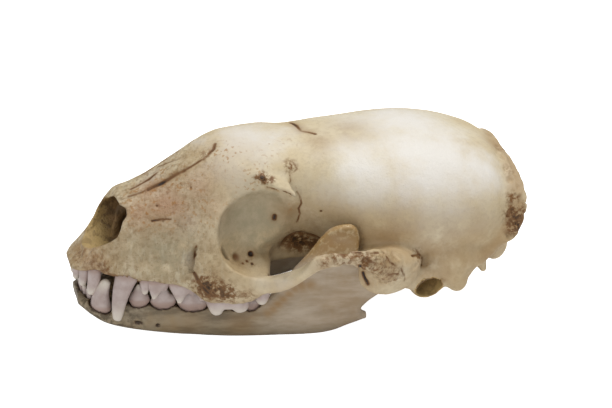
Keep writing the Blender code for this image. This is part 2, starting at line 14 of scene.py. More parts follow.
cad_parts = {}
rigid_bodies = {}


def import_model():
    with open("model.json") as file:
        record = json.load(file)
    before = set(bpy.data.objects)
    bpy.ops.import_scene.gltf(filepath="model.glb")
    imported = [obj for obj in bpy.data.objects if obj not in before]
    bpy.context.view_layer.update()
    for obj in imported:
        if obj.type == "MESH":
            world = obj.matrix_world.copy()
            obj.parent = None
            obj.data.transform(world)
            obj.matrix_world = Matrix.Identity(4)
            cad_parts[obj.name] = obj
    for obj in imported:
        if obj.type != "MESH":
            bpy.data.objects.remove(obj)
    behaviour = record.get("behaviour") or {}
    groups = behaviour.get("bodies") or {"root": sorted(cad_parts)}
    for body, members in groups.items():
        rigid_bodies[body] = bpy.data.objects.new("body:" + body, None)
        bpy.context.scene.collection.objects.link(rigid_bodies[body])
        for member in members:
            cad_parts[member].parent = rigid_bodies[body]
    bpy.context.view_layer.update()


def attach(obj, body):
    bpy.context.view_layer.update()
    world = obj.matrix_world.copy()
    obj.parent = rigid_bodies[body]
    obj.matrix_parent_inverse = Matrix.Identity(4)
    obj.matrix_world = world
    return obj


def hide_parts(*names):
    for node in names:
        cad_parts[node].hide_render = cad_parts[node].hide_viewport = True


for thing in list(bpy.data.objects):
    bpy.data.objects.remove(thing)
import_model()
mm = 0.001
midStation = 39.0  # the station at the middle of the skull's length
photoSize = (612, 408)
pixelsPerMm = 5.62  # in the photograph, at the skull
print("frame loaded")

view = {
    "azimuth": -13.92,  # degrees, 0 looks along +Y
    "elevation": 27.49,
    "distance": 418.5,
    "target": (37.65, 0.0, 18.31),  # station, out, height that the camera is turned to
    "aside": (4.37, 1.59),  # the camera's own place beside that line, to the right and up
    "lens": 138.4,
    "sensor": 36.0,
}
focalPixels = photoSize[0] * view["lens"] / view["sensor"]
curveStep = 0.4  # how finely a curve through given rows is read off
nothingNear = 9.0  # the distance that a block holds where nothing was grown
farAway = 99.0  # more than any distance here

# A section across the bone: station, out of its middle, half width, height of its widest place, top,
# bottom, fullness above and below (2 is an oval, more is squarer)
cranium = {
    "box": ((-3.0, 0.0, 3.0), (82.0, 26.0, 37.0)),  # the space that one side of it is grown in
    "step": 0.26,  # size of the cells that the bone is grown in
    "triangles": 190000,
    # how softly each form runs into what was there before it
    "soft": {
        "body": 0, "palate": 1.6, "cheek": 1.6, "lumps": 1.6, "spurs": 1.6, "toothRow": 1.6, "arch": 1.2,
        "crest": 2.4, "orbit": 0.6, "orbitFloor": 0.5, "browPlate": 0.7, "nose": 0.3, "scrolls": 0.2,
        "throat": 0.3, "joint": 0.3, "brain": 0.3, "spine": 0.5, "holes": 0.3,
    },
    "jointInner": 9.0,  # how near to the midplane the trough of the jaw's joint starts
    # height and width of its broad unevenness, and of the fine one, which is strongest on the snout
    "hills": ((0.12, 6.0), (0.07, 1.6)),
    "noseBox": ((-2.0, -8.0, 15.0), (11.0, 3.0, 28.0)),  # the space that the nose's mouth is cut in
    "body": [
        (-0.8, 0, 2.6, 13.9, 14.4, 13.2, 2.2, 3), (0.3, 0, 4.2, 14.4, 15.3, 13.2, 2.2, 3.2),
        (2.2, 0, 5.4, 15, 17.2, 13.4, 2.2, 3.4), (4.4, 0, 6.4, 15.6, 20.3, 13.6, 2.2, 3.6),
        (5.8, 0, 6.9, 15.9, 23.3, 13.4, 2.3, 3.8), (7.2, 0, 7.3, 16, 25, 13.1, 2.5, 4),
        (8.6, 0, 7.6, 16.2, 26.4, 12.6, 2.4, 4), (11.5, 0, 7.9, 16.6, 27.4, 12.3, 2.3, 4),
        (15, 0, 8.3, 17.4, 29, 12, 2.2, 4), (19, 0, 8.8, 18.6, 31.4, 11.5, 2.2, 3.8),
        (23, 0, 9.4, 22, 33.6, 11.2, 2.2, 3.4), (27, 0, 9.9, 25.4, 34.6, 11, 2.4, 3),
        (31, 0, 10.1, 27.2, 34.5, 11, 2.5, 2.4), (35, 0, 9.9, 27.8, 34.5, 11.4, 2.5, 2),
        (38.5, 0, 9.4, 27.2, 34.4, 12, 2.4, 1.7), (42, 0, 10.3, 26.2, 34.5, 12.4, 2.3, 1.7),
        (46, 0, 12.4, 24.8, 34.4, 12, 2.2, 1.9), (51, 0, 14.6, 23.4, 34.3, 11.6, 2.1, 2.3),
        (56, 0, 16, 22.4, 34.3, 11, 2.1, 2.5), (61, 0, 16.5, 21.8, 34, 10.6, 2.1, 2.6),
        (66, 0, 16.3, 21.4, 33.1, 10.3, 2.1, 2.6), (70, 0, 15.6, 21.1, 31.8, 10.2, 2.1, 2.5),
        (73.5, 0, 14, 20.9, 30.3, 10.3, 2.1, 2.3), (75.8, 0, 11.4, 20.6, 28.6, 11, 2.1, 2.2),
        (77, 0, 8.2, 20.2, 26.4, 12.6, 2, 2.2), (77.7, 0, 4.4, 19.8, 23.4, 15.8, 2, 2),
    ],
    "palate": [
        (30, 0, 6.2, 13.6, 16, 11, 2, 4), (35, 0, 5.4, 13.4, 16, 11, 2, 4),
        (40, 0, 4.9, 13.2, 17, 10.8, 2, 4), (45, 0, 4.6, 13, 17, 10, 2, 4),
        (50, 0, 4.2, 12.8, 16, 9.4, 2, 4), (51.5, 0, 3.8, 12.4, 15, 10, 2, 3),
    ],
    "cheek": [
        (14, 6.4, 1.2, 15, 17, 12.4, 2, 3), (17, 6.8, 3.2, 15.2, 19.6, 11.7, 2, 3.2),
        (19.2, 7, 5, 15.8, 21.6, 11.1, 2.2, 3.4), (21.5, 7.2, 5.6, 16.6, 24.4, 10.9, 2.3, 3.6),
        (24, 7.5, 5.8, 17, 27, 10.7, 2.3, 3.8), (27, 8.2, 6, 15.8, 26.4, 10.6, 2, 4),
        (30, 8.6, 6.1, 14, 17, 10.7, 2, 4), (31.8, 8, 5.6, 13.4, 15.4, 10.9, 2, 4),
        (32.8, 7.2, 4.2, 13.4, 15, 11.3, 2, 3.5), (33.6, 6.2, 2.4, 13.6, 15, 12.2, 2, 3),
    ],
    # the cheekbone: station, out and height of its middle, half thickness, half height
    "arch": [
        (26, 12.4, 14.4, 1.9, 2.6), (29, 14.2, 13.2, 1.7, 2.1), (31.5, 15.8, 13.3, 1.5, 1.75),
        (34, 17.3, 14.6, 1.5, 1.75), (36.3, 18.7, 16.5, 1.4, 1.65), (38.6, 20.2, 18.5, 1.2, 1.4),
        (41, 21.3, 19.5, 1.15, 1.25), (44, 22, 19.8, 1.15, 1.3), (46.5, 22.1, 19.5, 1.3, 1.6),
        (49, 21.4, 18.4, 1.7, 2.2), (51.2, 19.8, 16.7, 2.3, 2.6), (53.2, 17.6, 15.1, 2.9, 2.8),
        (55, 15, 14.2, 3, 2.8), (56.4, 12, 14, 3, 2.6),
    ],
    # the ridge of bone that the upper cheek teeth stand in, in the same way
    "toothRow": [
        (5.6, 6.2, 15.2, 1.3, 1.4), (9, 7.2, 14.5, 1.7, 1.5), (13, 8.4, 13.8, 1.5, 1.5),
        (17, 9.3, 13.3, 1.5, 1.6), (19.8, 10.2, 12.6, 1.6, 1.8), (22, 11.5, 11.3, 1.8, 2.3),
        (24.5, 12.3, 10.9, 1.8, 2.3), (28, 13.2, 10.7, 1.7, 2.1), (30.6, 13.4, 11.5, 1.5, 1.4),
    ],
    # the plate that points out and back over the eye
    "browPlate": [
        (32.2, 7.6, 30.9, 2.6, 1.1), (34.6, 10, 29.9, 1.9, 0.75), (36.2, 11.8, 28.9, 0.9, 0.5),
        (37, 12.7, 28.2, 0.35, 0.3),
    ],
    # the crest across the back of the head, in the same way, standing away from its hub
    "crest": [
        (76.4, -1.5, 27, 1, 1.5), (76.8, 3, 26.5, 1, 1.6), (77.2, 6.6, 25.6, 1, 1.6),
        (77.4, 9.4, 24.3, 1, 1.7), (77.4, 11.4, 22.6, 1, 1.9), (77.2, 12.1, 20, 1, 1.9),
        (76.2, 12.4, 17.2, 1, 1.8), (73.8, 12.8, 14.9, 1.1, 1.6), (70.2, 14, 13, 1.2, 1.6),
    ],
    "crestHub": (56, 0, 20),
    # rounded forms: station, out, height, and their half sizes
    "lumps": {
        "bulla": (60.2, 8.6, 11, 7.4, 4.8, 3.6),
        "mastoid": (65.2, 14.2, 12.4, 4.4, 2.8, 4.2),
        "condyle": (75.3, 6.6, 11.5, 2.4, 2.9, 3.6),
        "jointRoof": (53.2, 14.8, 14.8, 5.6, 5.4, 2.8),
        "jointLip": (52.4, 17.4, 13.5, 5.2, 1.9, 4),
        "canineRoot": (9.4, 6.3, 15.4, 2.7, 2.3, 4),
    },
    # tapered forms: start, end, and the radius at each
    "spurs": {
        "mastoidTip": ((65, 15, 11.6), (65.6, 16, 9.2), 2.5, 1.7),
        "paroccipital": ((70.4, 10.6, 13), (71.8, 11.7, 8.9), 2.2, 0.7),
        "earTube": ((60.2, 11, 10.8), (60.2, 14.9, 9.6), 3.1, 3.1),
        "postglenoid": ((56.4, 15.6, 14), (56.5, 15.6, 10.4), 1.6, 1.1),
    },
    "orbit": (31.2, 16.5, 22.9, 8.6, 9, 7.9),
    "orbitFloor": (31, 13.4, 19.6, 7.1, 5.6, 5.4),
    # the mouth of the nose as the photograph shows its near side
    "nearRim": [
        (95, 202), (106, 198.5), (114.3, 196), (119.6, 205), (125.8, 208.4), (126.6, 216), (122.4, 222),
        (120.6, 230), (117.4, 237.6), (109, 243), (98, 247), (88, 249), (78, 247), (60, 240), (60, 202),
    ],
    "nose": [
        (-2, 0, 1.6, 21, 31, 18.4, 2.2, 2.4), (1, 0, 2.6, 20.6, 31, 17.3, 2.2, 2.4),
        (3, 0, 3.8, 20.4, 31, 16.7, 2.4, 2.4), (5.6, 0, 4.9, 20.6, 26.4, 16.5, 2.4, 2.4),
        (7, 0, 5.3, 20.8, 24, 16.6, 2.4, 2.4), (8.8, 0, 5.5, 21, 24.6, 16.8, 2.4, 2.4),
        (12, 0, 5.2, 21.4, 25.4, 17, 2.2, 2.2), (16, 0, 4, 22, 26.6, 17.4, 2, 2),
        (20, 0, 3, 22, 26, 18.2, 2, 2),
    ],
    "brain": [
        (42, 0, 7, 25.5, 31.4, 19, 2, 2), (46, 0, 10.7, 24.8, 32.8, 15.6, 2.1, 1.9),
        (51, 0, 13.1, 23.4, 32.8, 14.4, 2.1, 2.3), (56, 0, 14.5, 22.4, 32.8, 13.8, 2.1, 2.5),
        (61, 0, 15, 21.8, 32.5, 13.2, 2.1, 2.6), (66, 0, 14.8, 21.4, 31.6, 12.6, 2.1, 2.6),
        (70, 0, 13.9, 21.1, 30.1, 12.2, 2.1, 2.5), (73.6, 0, 11, 20.4, 27.6, 12.1, 2.1, 2.3),
        (75, 0, 7, 19.4, 24.8, 12.2, 2, 2.2),
    ],
    "spine": [
        (71, 0, 4.8, 16.2, 20, 12.5, 2, 2), (84, 0, 5, 14.8, 18.8, 11.4, 2, 2),
    ],
    "throat": [
        (38.5, 0, 2.2, 14.6, 16, 12.6, 2, 2), (41, 0, 3.1, 13.6, 15.6, 10.6, 2.2, 2.2),
        (45, 0, 3.3, 11.6, 14, 7.6, 2.6, 2.2), (55, 0, 2.9, 9.6, 11.6, 6, 2.6, 2.2),
    ],
    # the thin bony scrolls in the nose, as bars
    "scrolls": [
        (8, 2, 16.8, 0.6, 1.2), (8.6, 2.4, 18.6, 0.6, 1.3), (9.4, 2.9, 20.6, 0.45, 1.2),
        (10.6, 2.4, 22.6, 0.4, 1), (12.4, 1.4, 23.4, 0.4, 0.9),
    ],
    # holes: start, end, radius, and how narrow the hole is across
    "holes": {
        "ear": ((60.3, 12.4, 10.5), (60.2, 19, 8.2), 2.35, 1),
        "cheek": ((16.6, 11.3, 17), (23.6, 11.2, 17.2), 2.2, 0.3),
    },
}

jaw = {
    "box": ((-1.5, 0.0, -1.0), (58.0, 21.0, 25.0)),
    "step": 0.22,
    "triangles": 90000,
    "blend": 1.2,
    "joint": (53.2, 11.4),  # station and height of the axis of the jaw's joint
    "jointRadius": 1.8,
    "jointOut": (12.2, 17.8),  # inner and outer end of the condyle
    "clearance": 0.3,
    "chinGap": 0.15,
    "body": [
        (0.2, 0.8, 2.6, 7, 8.2, 6.2, 2.4, 2.4), (1.9, 1.6, 4, 6.4, 8.1, 5, 2.4, 2.4),
        (3.6, 2.3, 4.5, 5.8, 7.7, 3.8, 2.4, 2.4), (5.6, 2.9, 3.8, 5.3, 7.8, 2.6, 2.2, 2.6),
        (8, 3.7, 3.2, 4.8, 8, 1.7, 2.6, 2.4), (10.5, 4.8, 2.9, 4.4, 7.8, 1.4, 2.8, 2.4),
        (13, 5.8, 2.3, 4, 7.5, 1.1, 2.8, 2.4), (16, 6.5, 2.1, 3.7, 7.1, 0.7, 2.8, 2.4),
        (20, 7.4, 2, 3.4, 6.5, 0.4, 2.6, 2.4), (24, 8.2, 2, 3.2, 6.1, 0, 2.4, 2.4),
        (28, 9, 2, 3.1, 6.1, -0.2, 2.4, 2.3), (32, 9.8, 1.9, 3.1, 6.4, -0.3, 2.4, 2.2),
        (36, 10.5, 1.8, 3, 6.4, -0.3, 2.4, 2.2), (40, 11.2, 1.6, 2.7, 5.4, -0.3, 2.4, 2.2),
        (43.5, 11.9, 1.3, 2.6, 4.4, 0.2, 2.4, 2.2), (47, 12.5, 1, 2.8, 3.9, 1.7, 2.2, 2.2),
        (49.8, 13, 0.6, 3.1, 3.7, 2.5, 2, 2),
    ],
    # outline of the upright part, seen from the side: station and height
    "ramus": [
        (30, 4.6), (33.8, 9), (37, 13.2), (40.1, 17.1), (41.9, 19.8), (43.5, 21.6), (45.3, 22.3),
        (47.2, 22.3), (48.3, 21.2), (48.6, 19.2), (48.4, 16.4), (48.7, 13.8), (50.2, 12), (52.8, 12),
        (54.6, 11.2), (53.6, 8.9), (51.6, 7.2), (50.2, 6), (49.2, 4.8), (48.4, 2.8), (44, 1.4), (36, 0.8),
    ],
    "ramusFoot": (31, 9.8),  # station and out of the front of its foot
    "ramusTurn": 8,  # degrees that its plane turns out from the midplane
    "ramusLean": 6.5,  # degrees that its top leans outward
    "ramusThick": 1.7,
    "jointBlend": 0.8,  # how softly the condyle runs into the upright part
    "hills": ((0.08, 5.0), (0.04, 1.0)),
    "ramusHollow": 0.28,  # how much thinner each face is away from the rim
    "ramusRound": 0.6,  # radius of the rim's rounding
    "ramusBox": ((30.0, 8.0, -1.0), (56.0, 20.0, 25.0)),
}

# Teeth: each is a few cusps that grow together. A cusp is its base, its tip, half its length along the row,
# half its width, the turn of the row in degrees, and how far it bends.
teeth = {
    "step": 0.13,
    "triangles": 6000,
    "blend": 0.5,
    # how deep a tooth stands in its socket
    "root": {"incisor": 0.3, "canine": 1.6, "premolar": 1.8, "molar": 1.8},
    "socket": 0.12,  # room round a tooth in its socket
    # how wide a cusp is at these parts of its height
    "rise": (0, 0.25, 0.6, 0.85, 1),
    "taper": {
        "incisor": (1, 1, 0.86, 0.66, 0.4),
        "canine": (1, 0.84, 0.64, 0.5, 0.34),
        "premolar": (1, 0.84, 0.5, 0.26, 0.14),
        "molar": (1, 0.95, 0.8, 0.6, 0.34),
    },
    "broad": ("upper_premolar_1", "upper_premolar_4"),  # premolars as full as a molar
    "upper_incisor_1": [((0.9, 1, 13.9), (0.2, 1.02, 10.7), 0.85, 0.9, 88, 0.2)],
    "upper_incisor_2": [((1.7, 2.75, 13.9), (1.1, 2.75, 10.1), 0.95, 0.95, 72, 0.2)],
    "upper_incisor_3": [((3.2, 4.4, 13.9), (2.2, 4.3, 9.1), 1.25, 1.1, 52, 0.25)],
    "upper_canine": [((8.5, 7.4, 13.8), (6.2, 8, 5.2), 2.05, 1.4, 16, -0.4)],
    "upper_premolar_1": [((11.3, 8.2, 12.6), (11.2, 8.3, 10), 0.95, 0.75, 12, 0)],
    "upper_premolar_2": [
        ((13.3, 8.6, 12.3), (12.6, 8.8, 8.8), 1.75, 0.85, 10, 0),
        ((14.5, 8.7, 12.2), (14.8, 8.8, 10.2), 1.1, 0.7, 10, 0),
    ],
    "upper_premolar_3": [
        ((17.3, 9.4, 11.9), (17, 9.7, 8), 2.2, 0.9, 14, 0),
        ((19.1, 9.9, 11.8), (19.4, 10.1, 9.4), 1.3, 0.75, 14, 0),
    ],
    "upper_premolar_4": [
        ((22.8, 11, 11.4), (23.2, 12.2, 6.4), 2, 1.2, 16, 0),
        ((26.4, 12.2, 11.2), (27.4, 13.2, 6.9), 2.3, 1.05, 16, 0),
        ((21, 10.6, 11.4), (20.7, 10.9, 8.7), 0.9, 0.8, 16, 0),
        ((24.8, 11.6, 11.2), (25.3, 12.7, 7.6), 2.2, 1, 16, 0),
        ((22.2, 8.7, 11.2), (22.2, 8.5, 9.2), 0.8, 0.8, 16, 0),
    ],
    "upper_molar_1": [
        ((31, 13, 11.2), (30.9, 13.4, 8.3), 1.6, 1.3, 12, 0),
        ((31.4, 11.2, 11.2), (31.4, 11.2, 9), 1.3, 1.3, 12, 0),
        ((31.7, 9.6, 11.2), (31.7, 9.6, 9.3), 1.7, 1.1, 12, 0),
    ],
    "lower_incisor_1": [((1.6, 0.72, 7.7), (1.1, 0.72, 10), 0.5, 0.58, 90, 0)],
    "lower_incisor_2": [((1.9, 1.95, 7.7), (1.5, 1.95, 9.7), 0.52, 0.6, 80, 0)],
    "lower_incisor_3": [((2.3, 3.2, 7.6), (2, 3.2, 9.6), 0.5, 0.55, 70, 0)],
    "lower_canine": [((3.9, 5.1, 6.9), (5, 5.9, 12.1), 1.95, 1.45, 30, -0.4)],
    "lower_premolar_1": [((7.9, 5.3, 7.3), (7.9, 5.3, 8.7), 0.7, 0.6, 12, 0)],
    "lower_premolar_2": [
        ((10.4, 6.4, 7.9), (10.4, 6.7, 11.2), 1.75, 0.85, 10, 0),
        ((11.3, 6.4, 7.9), (11.7, 6.5, 9), 0.9, 0.7, 10, 0),
    ],
    "lower_premolar_3": [
        ((14.4, 7.1, 7.4), (14.4, 7.6, 11.1), 2.1, 0.95, 10, 0),
        ((15.8, 7.2, 7.4), (16.2, 7.4, 8.7), 1, 0.75, 10, 0),
    ],
    "lower_premolar_4": [
        ((19.3, 8, 6.9), (19.7, 8.6, 11), 2.4, 1.05, 12, 0),
        ((21.2, 8.3, 7), (21.4, 8.5, 8.6), 1.1, 0.85, 12, 0),
    ],
    "lower_molar_1": [
        ((24.4, 8.7, 6.6), (24.6, 8.9, 9.6), 1.8, 0.95, 12, 0),
        ((27, 9.2, 6.6), (26.9, 9.4, 10), 1.7, 1, 12, 0),
        ((29.9, 9.8, 6.4), (30, 9.8, 7.9), 1.6, 1, 12, 0),
    ],
    "lower_molar_2": [((33, 10.2, 6.4), (33, 10.2, 7.8), 0.9, 0.85, 15, 0)],
}


def cameraAxes():
    # where the camera stands, in millimetres, and the directions right, up and back of its picture
    turn, rise = math.radians(view["azimuth"]), math.radians(view["elevation"])
    back = np.array([math.sin(turn) * math.cos(rise), -math.cos(turn) * math.cos(rise), math.sin(rise)])
    right = np.array([math.cos(turn), math.sin(turn), 0.0])
    up = np.cross(back, right)
    place = np.array(view["target"]) + back * view["distance"]
    place = place + right * view["aside"][0] + up * view["aside"][1]
    return place, right, up, back


def inPicture(places):
    # where the photograph shows each place
    place, right, up, back = cameraAxes()
    offset = places - place
    scale = focalPixels / -(offset @ back)
    return np.stack([photoSize[0] / 2 + offset @ right * scale, photoSize[1] / 2 - offset @ up * scale], -1)


def outlineDistance(outline, flat):
    # how far each place of a plane is from an outline in it, which is less than 0 inside
    away = np.full(len(flat), farAway)
    inside = np.zeros(len(flat), bool)
    for first, last in zip(outline, np.roll(outline, -1, axis=0)):
        way = last - first
        t = np.clip((flat - first) @ way / max((way ** 2).sum(), 1e-9), 0, 1)
        away = np.minimum(away, np.linalg.norm(flat - first - t[:, None] * way, axis=1))
        crosses = (first[1] > flat[:, 1]) != (last[1] > flat[:, 1])
        with np.errstate(divide="ignore", invalid="ignore"):
            edge = first[0] + (flat[:, 1] - first[1]) * way[0] / way[1]
        inside ^= crosses & (flat[:, 0] < edge)
    return np.where(inside, -away, away)


def smoothRows(rows, step):
    # rows read off a smooth curve through the given ones, about one step apart
    rows = np.array(rows, float)
    result = []
    for index in range(len(rows) - 1):
        a, b, c, d = [rows[min(max(index + k, 0), len(rows) - 1)] for k in (-1, 0, 1, 2)]
        count = max(1, round(np.linalg.norm(c[:3] - b[:3]) / step))
        for t in np.arange(count) / count:
            bend = (2 * a - 5 * b + 4 * c - d) * t ** 2 + (3 * b - a - 3 * c + d) * t ** 3
            result.append(0.5 * (2 * b + (c - a) * t + bend))
    result.append(rows[-1])
    return np.array(result)


class Block:
    # a block of space that holds at each place the distance to the bone, which is less than 0 inside it

    def __init__(self, low, high, step):
        self.low, self.step = np.array(low, float), step
        self.axes = [np.arange(a, b, step, dtype=np.float32) for a, b in zip(low, high)]
        self.field = np.full([len(axis) for axis in self.axes], nothingNear, np.float32)

    def part(self, low, high, margin=3.0):
        cells = []
        for axis, a, b in zip(self.axes, low, high):
            first, last = np.searchsorted(axis, (a - margin, b + margin))
            cells.append(slice(first, last))
        s, y, z = [axis[cell] for axis, cell in zip(self.axes, cells)]
        return tuple(cells), s[:, None, None], y[None, :, None], z[None, None, :]

    def join(self, form, blend=0.0):
        low, high, distance = form
        cells, s, y, z = self.part(low, high)
        self.field[cells] = softLess(self.field[cells], distance(s, y, z), blend)

    def carve(self, form, blend=0.0, room=0.0):
        low, high, distance = form
        cells, s, y, z = self.part(low, high)
        self.field[cells] = -softLess(-self.field[cells], distance(s, y, z) - room, blend)

    def openSockets(self, row):
        # room for the roots of the upper or the lower teeth
        for name in toothNames(row):
            for form in toothForms(name):
                self.carve(form, room=teeth["socket"])

    def mirrored(self, joined=False):
        # its mirror image in the midplane, by itself or joined to it
        other = copy.copy(self)
        out, field = -self.axes[1][::-1], self.field[:, ::-1]
        if joined:
            out = np.concatenate([out[:-1], self.axes[1]])
            field = np.concatenate([field[:, :-1], self.field], axis=1)
        other.low = np.array([self.low[0], out[0], self.low[2]])
        other.axes = [self.axes[0], out, self.axes[2]]
        other.field = np.ascontiguousarray(field)
        return other

    def sample(self, places):
        cells = np.rint((places - self.low) / self.step).astype(int)
        inside = np.all((cells >= 0) & (cells < self.field.shape), axis=-1)
        cells = np.clip(cells, 0, np.array(self.field.shape) - 1)
        values = self.field[cells[..., 0], cells[..., 1], cells[..., 2]]
        return np.where(inside, values, nothingNear)

    def seen(self, across, down):
        # the place on the bone that the photograph shows at a point of its picture
        place, right, up, back = cameraAxes()
        ray = -back + right * (across - photoSize[0] / 2) / focalPixels
        ray = ray + up * (photoSize[1] / 2 - down) / focalPixels
        # from well in front of the skull to well behind it
        before, step = 45, 0.1
        along = view["distance"] + np.arange(-before, before, step)
        places = place + ray * along[:, None]
        under = np.nonzero(self.sample(places) < 0)[0]
        return places[under[0]] if len(under) else None


def softLess(a, b, blend):
    if blend == 0:
        return np.minimum(a, b)
    near = np.maximum(blend - np.abs(a - b), 0) / blend
    return np.minimum(a, b) - near * near * blend / 4


def loft(rows):
    # a form through sections across the skull
    curve = smoothRows(rows, curveStep)
    low = (curve[0, 0], (curve[:, 1] - curve[:, 2]).min(), curve[:, 5].min())
    high = (curve[-1, 0], (curve[:, 1] + curve[:, 2]).max(), curve[:, 4].max())

    def distance(s, y, z):
        out, wide, middle, top, bottom, above, below = [
            np.interp(s, curve[:, 0], curve[:, k]).astype(np.float32) for k in range(1, 8)]
        upper = z > middle
        tall = np.where(upper, top - middle, middle - bottom)
        power = np.where(upper, above, below)
        u, v = np.abs(y - out) / wide + 1e-4, np.abs(z - middle) / tall + 1e-4
        size = (u ** power + v ** power) ** (1 / power)
        steep = size ** (1 - power) * np.sqrt((u ** (power - 1) / wide) ** 2 + (v ** (power - 1) / tall) ** 2)
        away = (size - 1) / steep
        step = float(s[1, 0, 0] - s[0, 0, 0])
        away /= np.sqrt(1 + np.gradient(away, step, axis=0) ** 2)
        return np.maximum(away, np.maximum(curve[0, 0] - s, s - curve[-1, 0]))
    return low, high, distance


def beads(middles, sizes, axes):
    # a form grown from ovals set close together: their middles, half sizes and directions
    reach = sizes.max(axis=1)[:, None]
    low, high = (middles - reach).min(axis=0), (middles + reach).max(axis=0)

    def distance(s, y, z):
        best = np.full(np.broadcast(s, y, z).shape, nothingNear, np.float32)
        for middle, size, turned in zip(middles, sizes, axes):
            away = 0
            for half, direction in zip(size, turned):
                along = (s - middle[0]) * direction[0] + (y - middle[1]) * direction[1]
                along = along + (z - middle[2]) * direction[2]
                away = away + (along / half) ** 2
            best = np.minimum(best, (np.sqrt(away) - 1) * size.min())
        return best
    return low, high, distance


def unit(vectors):
    return vectors / np.linalg.norm(vectors, axis=-1, keepdims=True)


def strand(rows, hub=None):
    # a bar along rows of station, out, height, half thickness and half height
    curve = smoothRows(rows, curveStep)
    middles = curve[:, :3]
    along = unit(np.gradient(middles, axis=0))
    rise = middles - np.array(hub) if hub else np.tile([0.0, 0.0, 1.0], (len(middles), 1))
    tall = unit(rise - along * (rise * along).sum(axis=1, keepdims=True))
    thick = np.cross(along, tall)
    sizes = np.stack([curve[:, 3], curve[:, 4], curve[:, 3:5].min(axis=1)], axis=1)
    return beads(middles, sizes, np.stack([thick, tall, along], axis=1))


def ball(station, out, height, *half):
    middle, half = np.array([station, out, height]), np.array(half)

    def distance(s, y, z):
        u, v, w = [(a - b) / c for a, b, c in zip((s, y, z), middle, half)]
        size = np.sqrt(u * u + v * v + w * w) + 1e-4
        steep = np.sqrt((u / half[0]) ** 2 + (v / half[1]) ** 2 + (w / half[2]) ** 2) + 1e-4
        return size * (size - 1) / steep
    return middle - half, middle + half, distance


def spur(start, end, startRadius, endRadius, narrow=1.0):
    # a tapered bar with round ends, narrow being its width across as part of its height
    start, end = np.array(start, float), np.array(end, float)
    reach = max(startRadius, endRadius)

    def distance(s, y, z):
        along = end - start
        t = (s - start[0]) * along[0] + (y - start[1]) * along[1] + (z - start[2]) * along[2]
        t = np.clip(t / (along ** 2).sum(), 0, 1)
        across = [value - first - t * way for value, first, way in zip((s, y, z), start, along)]
        away = np.sqrt(across[0] ** 2 + (across[1] / narrow) ** 2 + across[2] ** 2)
        return away - (startRadius + (endRadius - startRadius) * t)
    return np.minimum(start, end) - reach, np.maximum(start, end) + reach, distance


def cusp(base, tip, halfLong, halfWide, turn, bend, kind):
    # one point of a tooth, which narrows to its tip, with its root below the base
    base, tip = np.array(base), np.array(tip)
    height = np.linalg.norm(tip - base)
    turn = math.radians(turn)
    level = np.array([math.cos(turn), math.sin(turn), 0.0])
    rise = (tip - base) / height
    thick = unit(np.cross(rise, level))
    ahead = np.cross(thick, rise)
    root = teeth["root"][kind]
    apart, blunt, thinnest = 0.22, 0.2, 0.16
    steps = np.arange(-root, height - blunt, apart)
    part = np.maximum(steps, 0) / height
    size = np.interp(part, teeth["rise"], teeth["taper"][kind])
    # the root narrows to its end
    size = size * np.interp(steps, (-root - 0.1, 0), (0.6, 1))
    middles = base + rise * steps[:, None] + ahead * (bend * 4 * part * (1 - part))[:, None]
    sizes = np.stack([halfLong * size, halfWide * size, np.minimum(halfLong, halfWide) * size], axis=1)
    return beads(middles, np.maximum(sizes, thinnest), np.tile([ahead, thick, rise], (len(steps), 1, 1)))


def toothNames(row=""):
    return [name for name in teeth if "_" in name and name.startswith(row)]


def toothForms(name):
    kind = "molar" if name in teeth["broad"] else name.split("_")[1]
    return [cusp(*values, kind) for values in teeth[name]]


# Uneven ground, from numbers on a lattice that are joined softly

latticeSize = 48
lattice = np.random.RandomState(7).rand(latticeSize, latticeSize, latticeSize).astype(np.float32)


def unevenness(places, grain, octaves=1):
    # between -1 and 1 at each place, with hills about one grain across
    total, weight = 0, 0
    for octave in range(octaves):
        scaled = places / (grain / 2 ** octave) + 17.3 * (octave + 1)
        cell = np.floor(scaled).astype(int)
        t = scaled - cell
        t = t * t * (3 - 2 * t)
        value = 0
        for corner in range(8):
            shift = np.array([corner & 1, corner >> 1 & 1, corner >> 2 & 1])
            share = np.prod(np.where(shift, t, 1 - t), axis=-1)
            x, y, z = np.moveaxis((cell + shift) % latticeSize, -1, 0)
            value = value + share * lattice[x, y, z]
        total = total + (value * 2 - 1) * 0.5 ** octave
        weight += 0.5 ** octave
    return total / weight


def lineDistance(places, points):
    # how far each place is from a line through the points
    best = np.full(len(places), farAway)
    for first, last in zip(points, points[1:] if len(points) > 1 else points):
        way = last - first
        t = np.clip((places - first) @ way / max((way ** 2).sum(), 1e-9), 0, 1)
        best = np.minimum(best, np.linalg.norm(places - first - t[:, None] * way, axis=1))
    return best


def nearLine(places, points, reach):
    # the numbers of the places near a line, and how far they are from it
    near = np.all((places > points.min(axis=0) - reach) & (places < points.max(axis=0) + reach), axis=1)
    near = np.nonzero(near)[0]
    return near, lineDistance(places[near], points)


def shell(block):
    # the cells near the surface, and the place of each in millimetres
    reach = 0.8
    cells = np.nonzero(np.abs(block.field) < reach)
    return cells, np.stack([axis[index] for axis, index in zip(block.axes, cells)], axis=1).astype(float)


def strengthen(amount, places, points, radius, strength, reach=2.5, power=2):
    # raises the amounts near a line of points, by less the more radii they are away
    near, away = nearLine(places, points, reach * radius)
    share = np.broadcast_to(strength, len(places))[near] * np.exp(-(away / radius) ** power)
    amount[near] = np.maximum(amount[near], share)


def seenSpots(block, spots):
    # the middle of each spot on the bone, with its radius and its strength
    for across, down, radius, strength in spots:
        middle = block.seen(across, down)
        if middle is None:
            print("a spot missed the bone:", across, down)
        else:
            yield middle[None], radius, strength


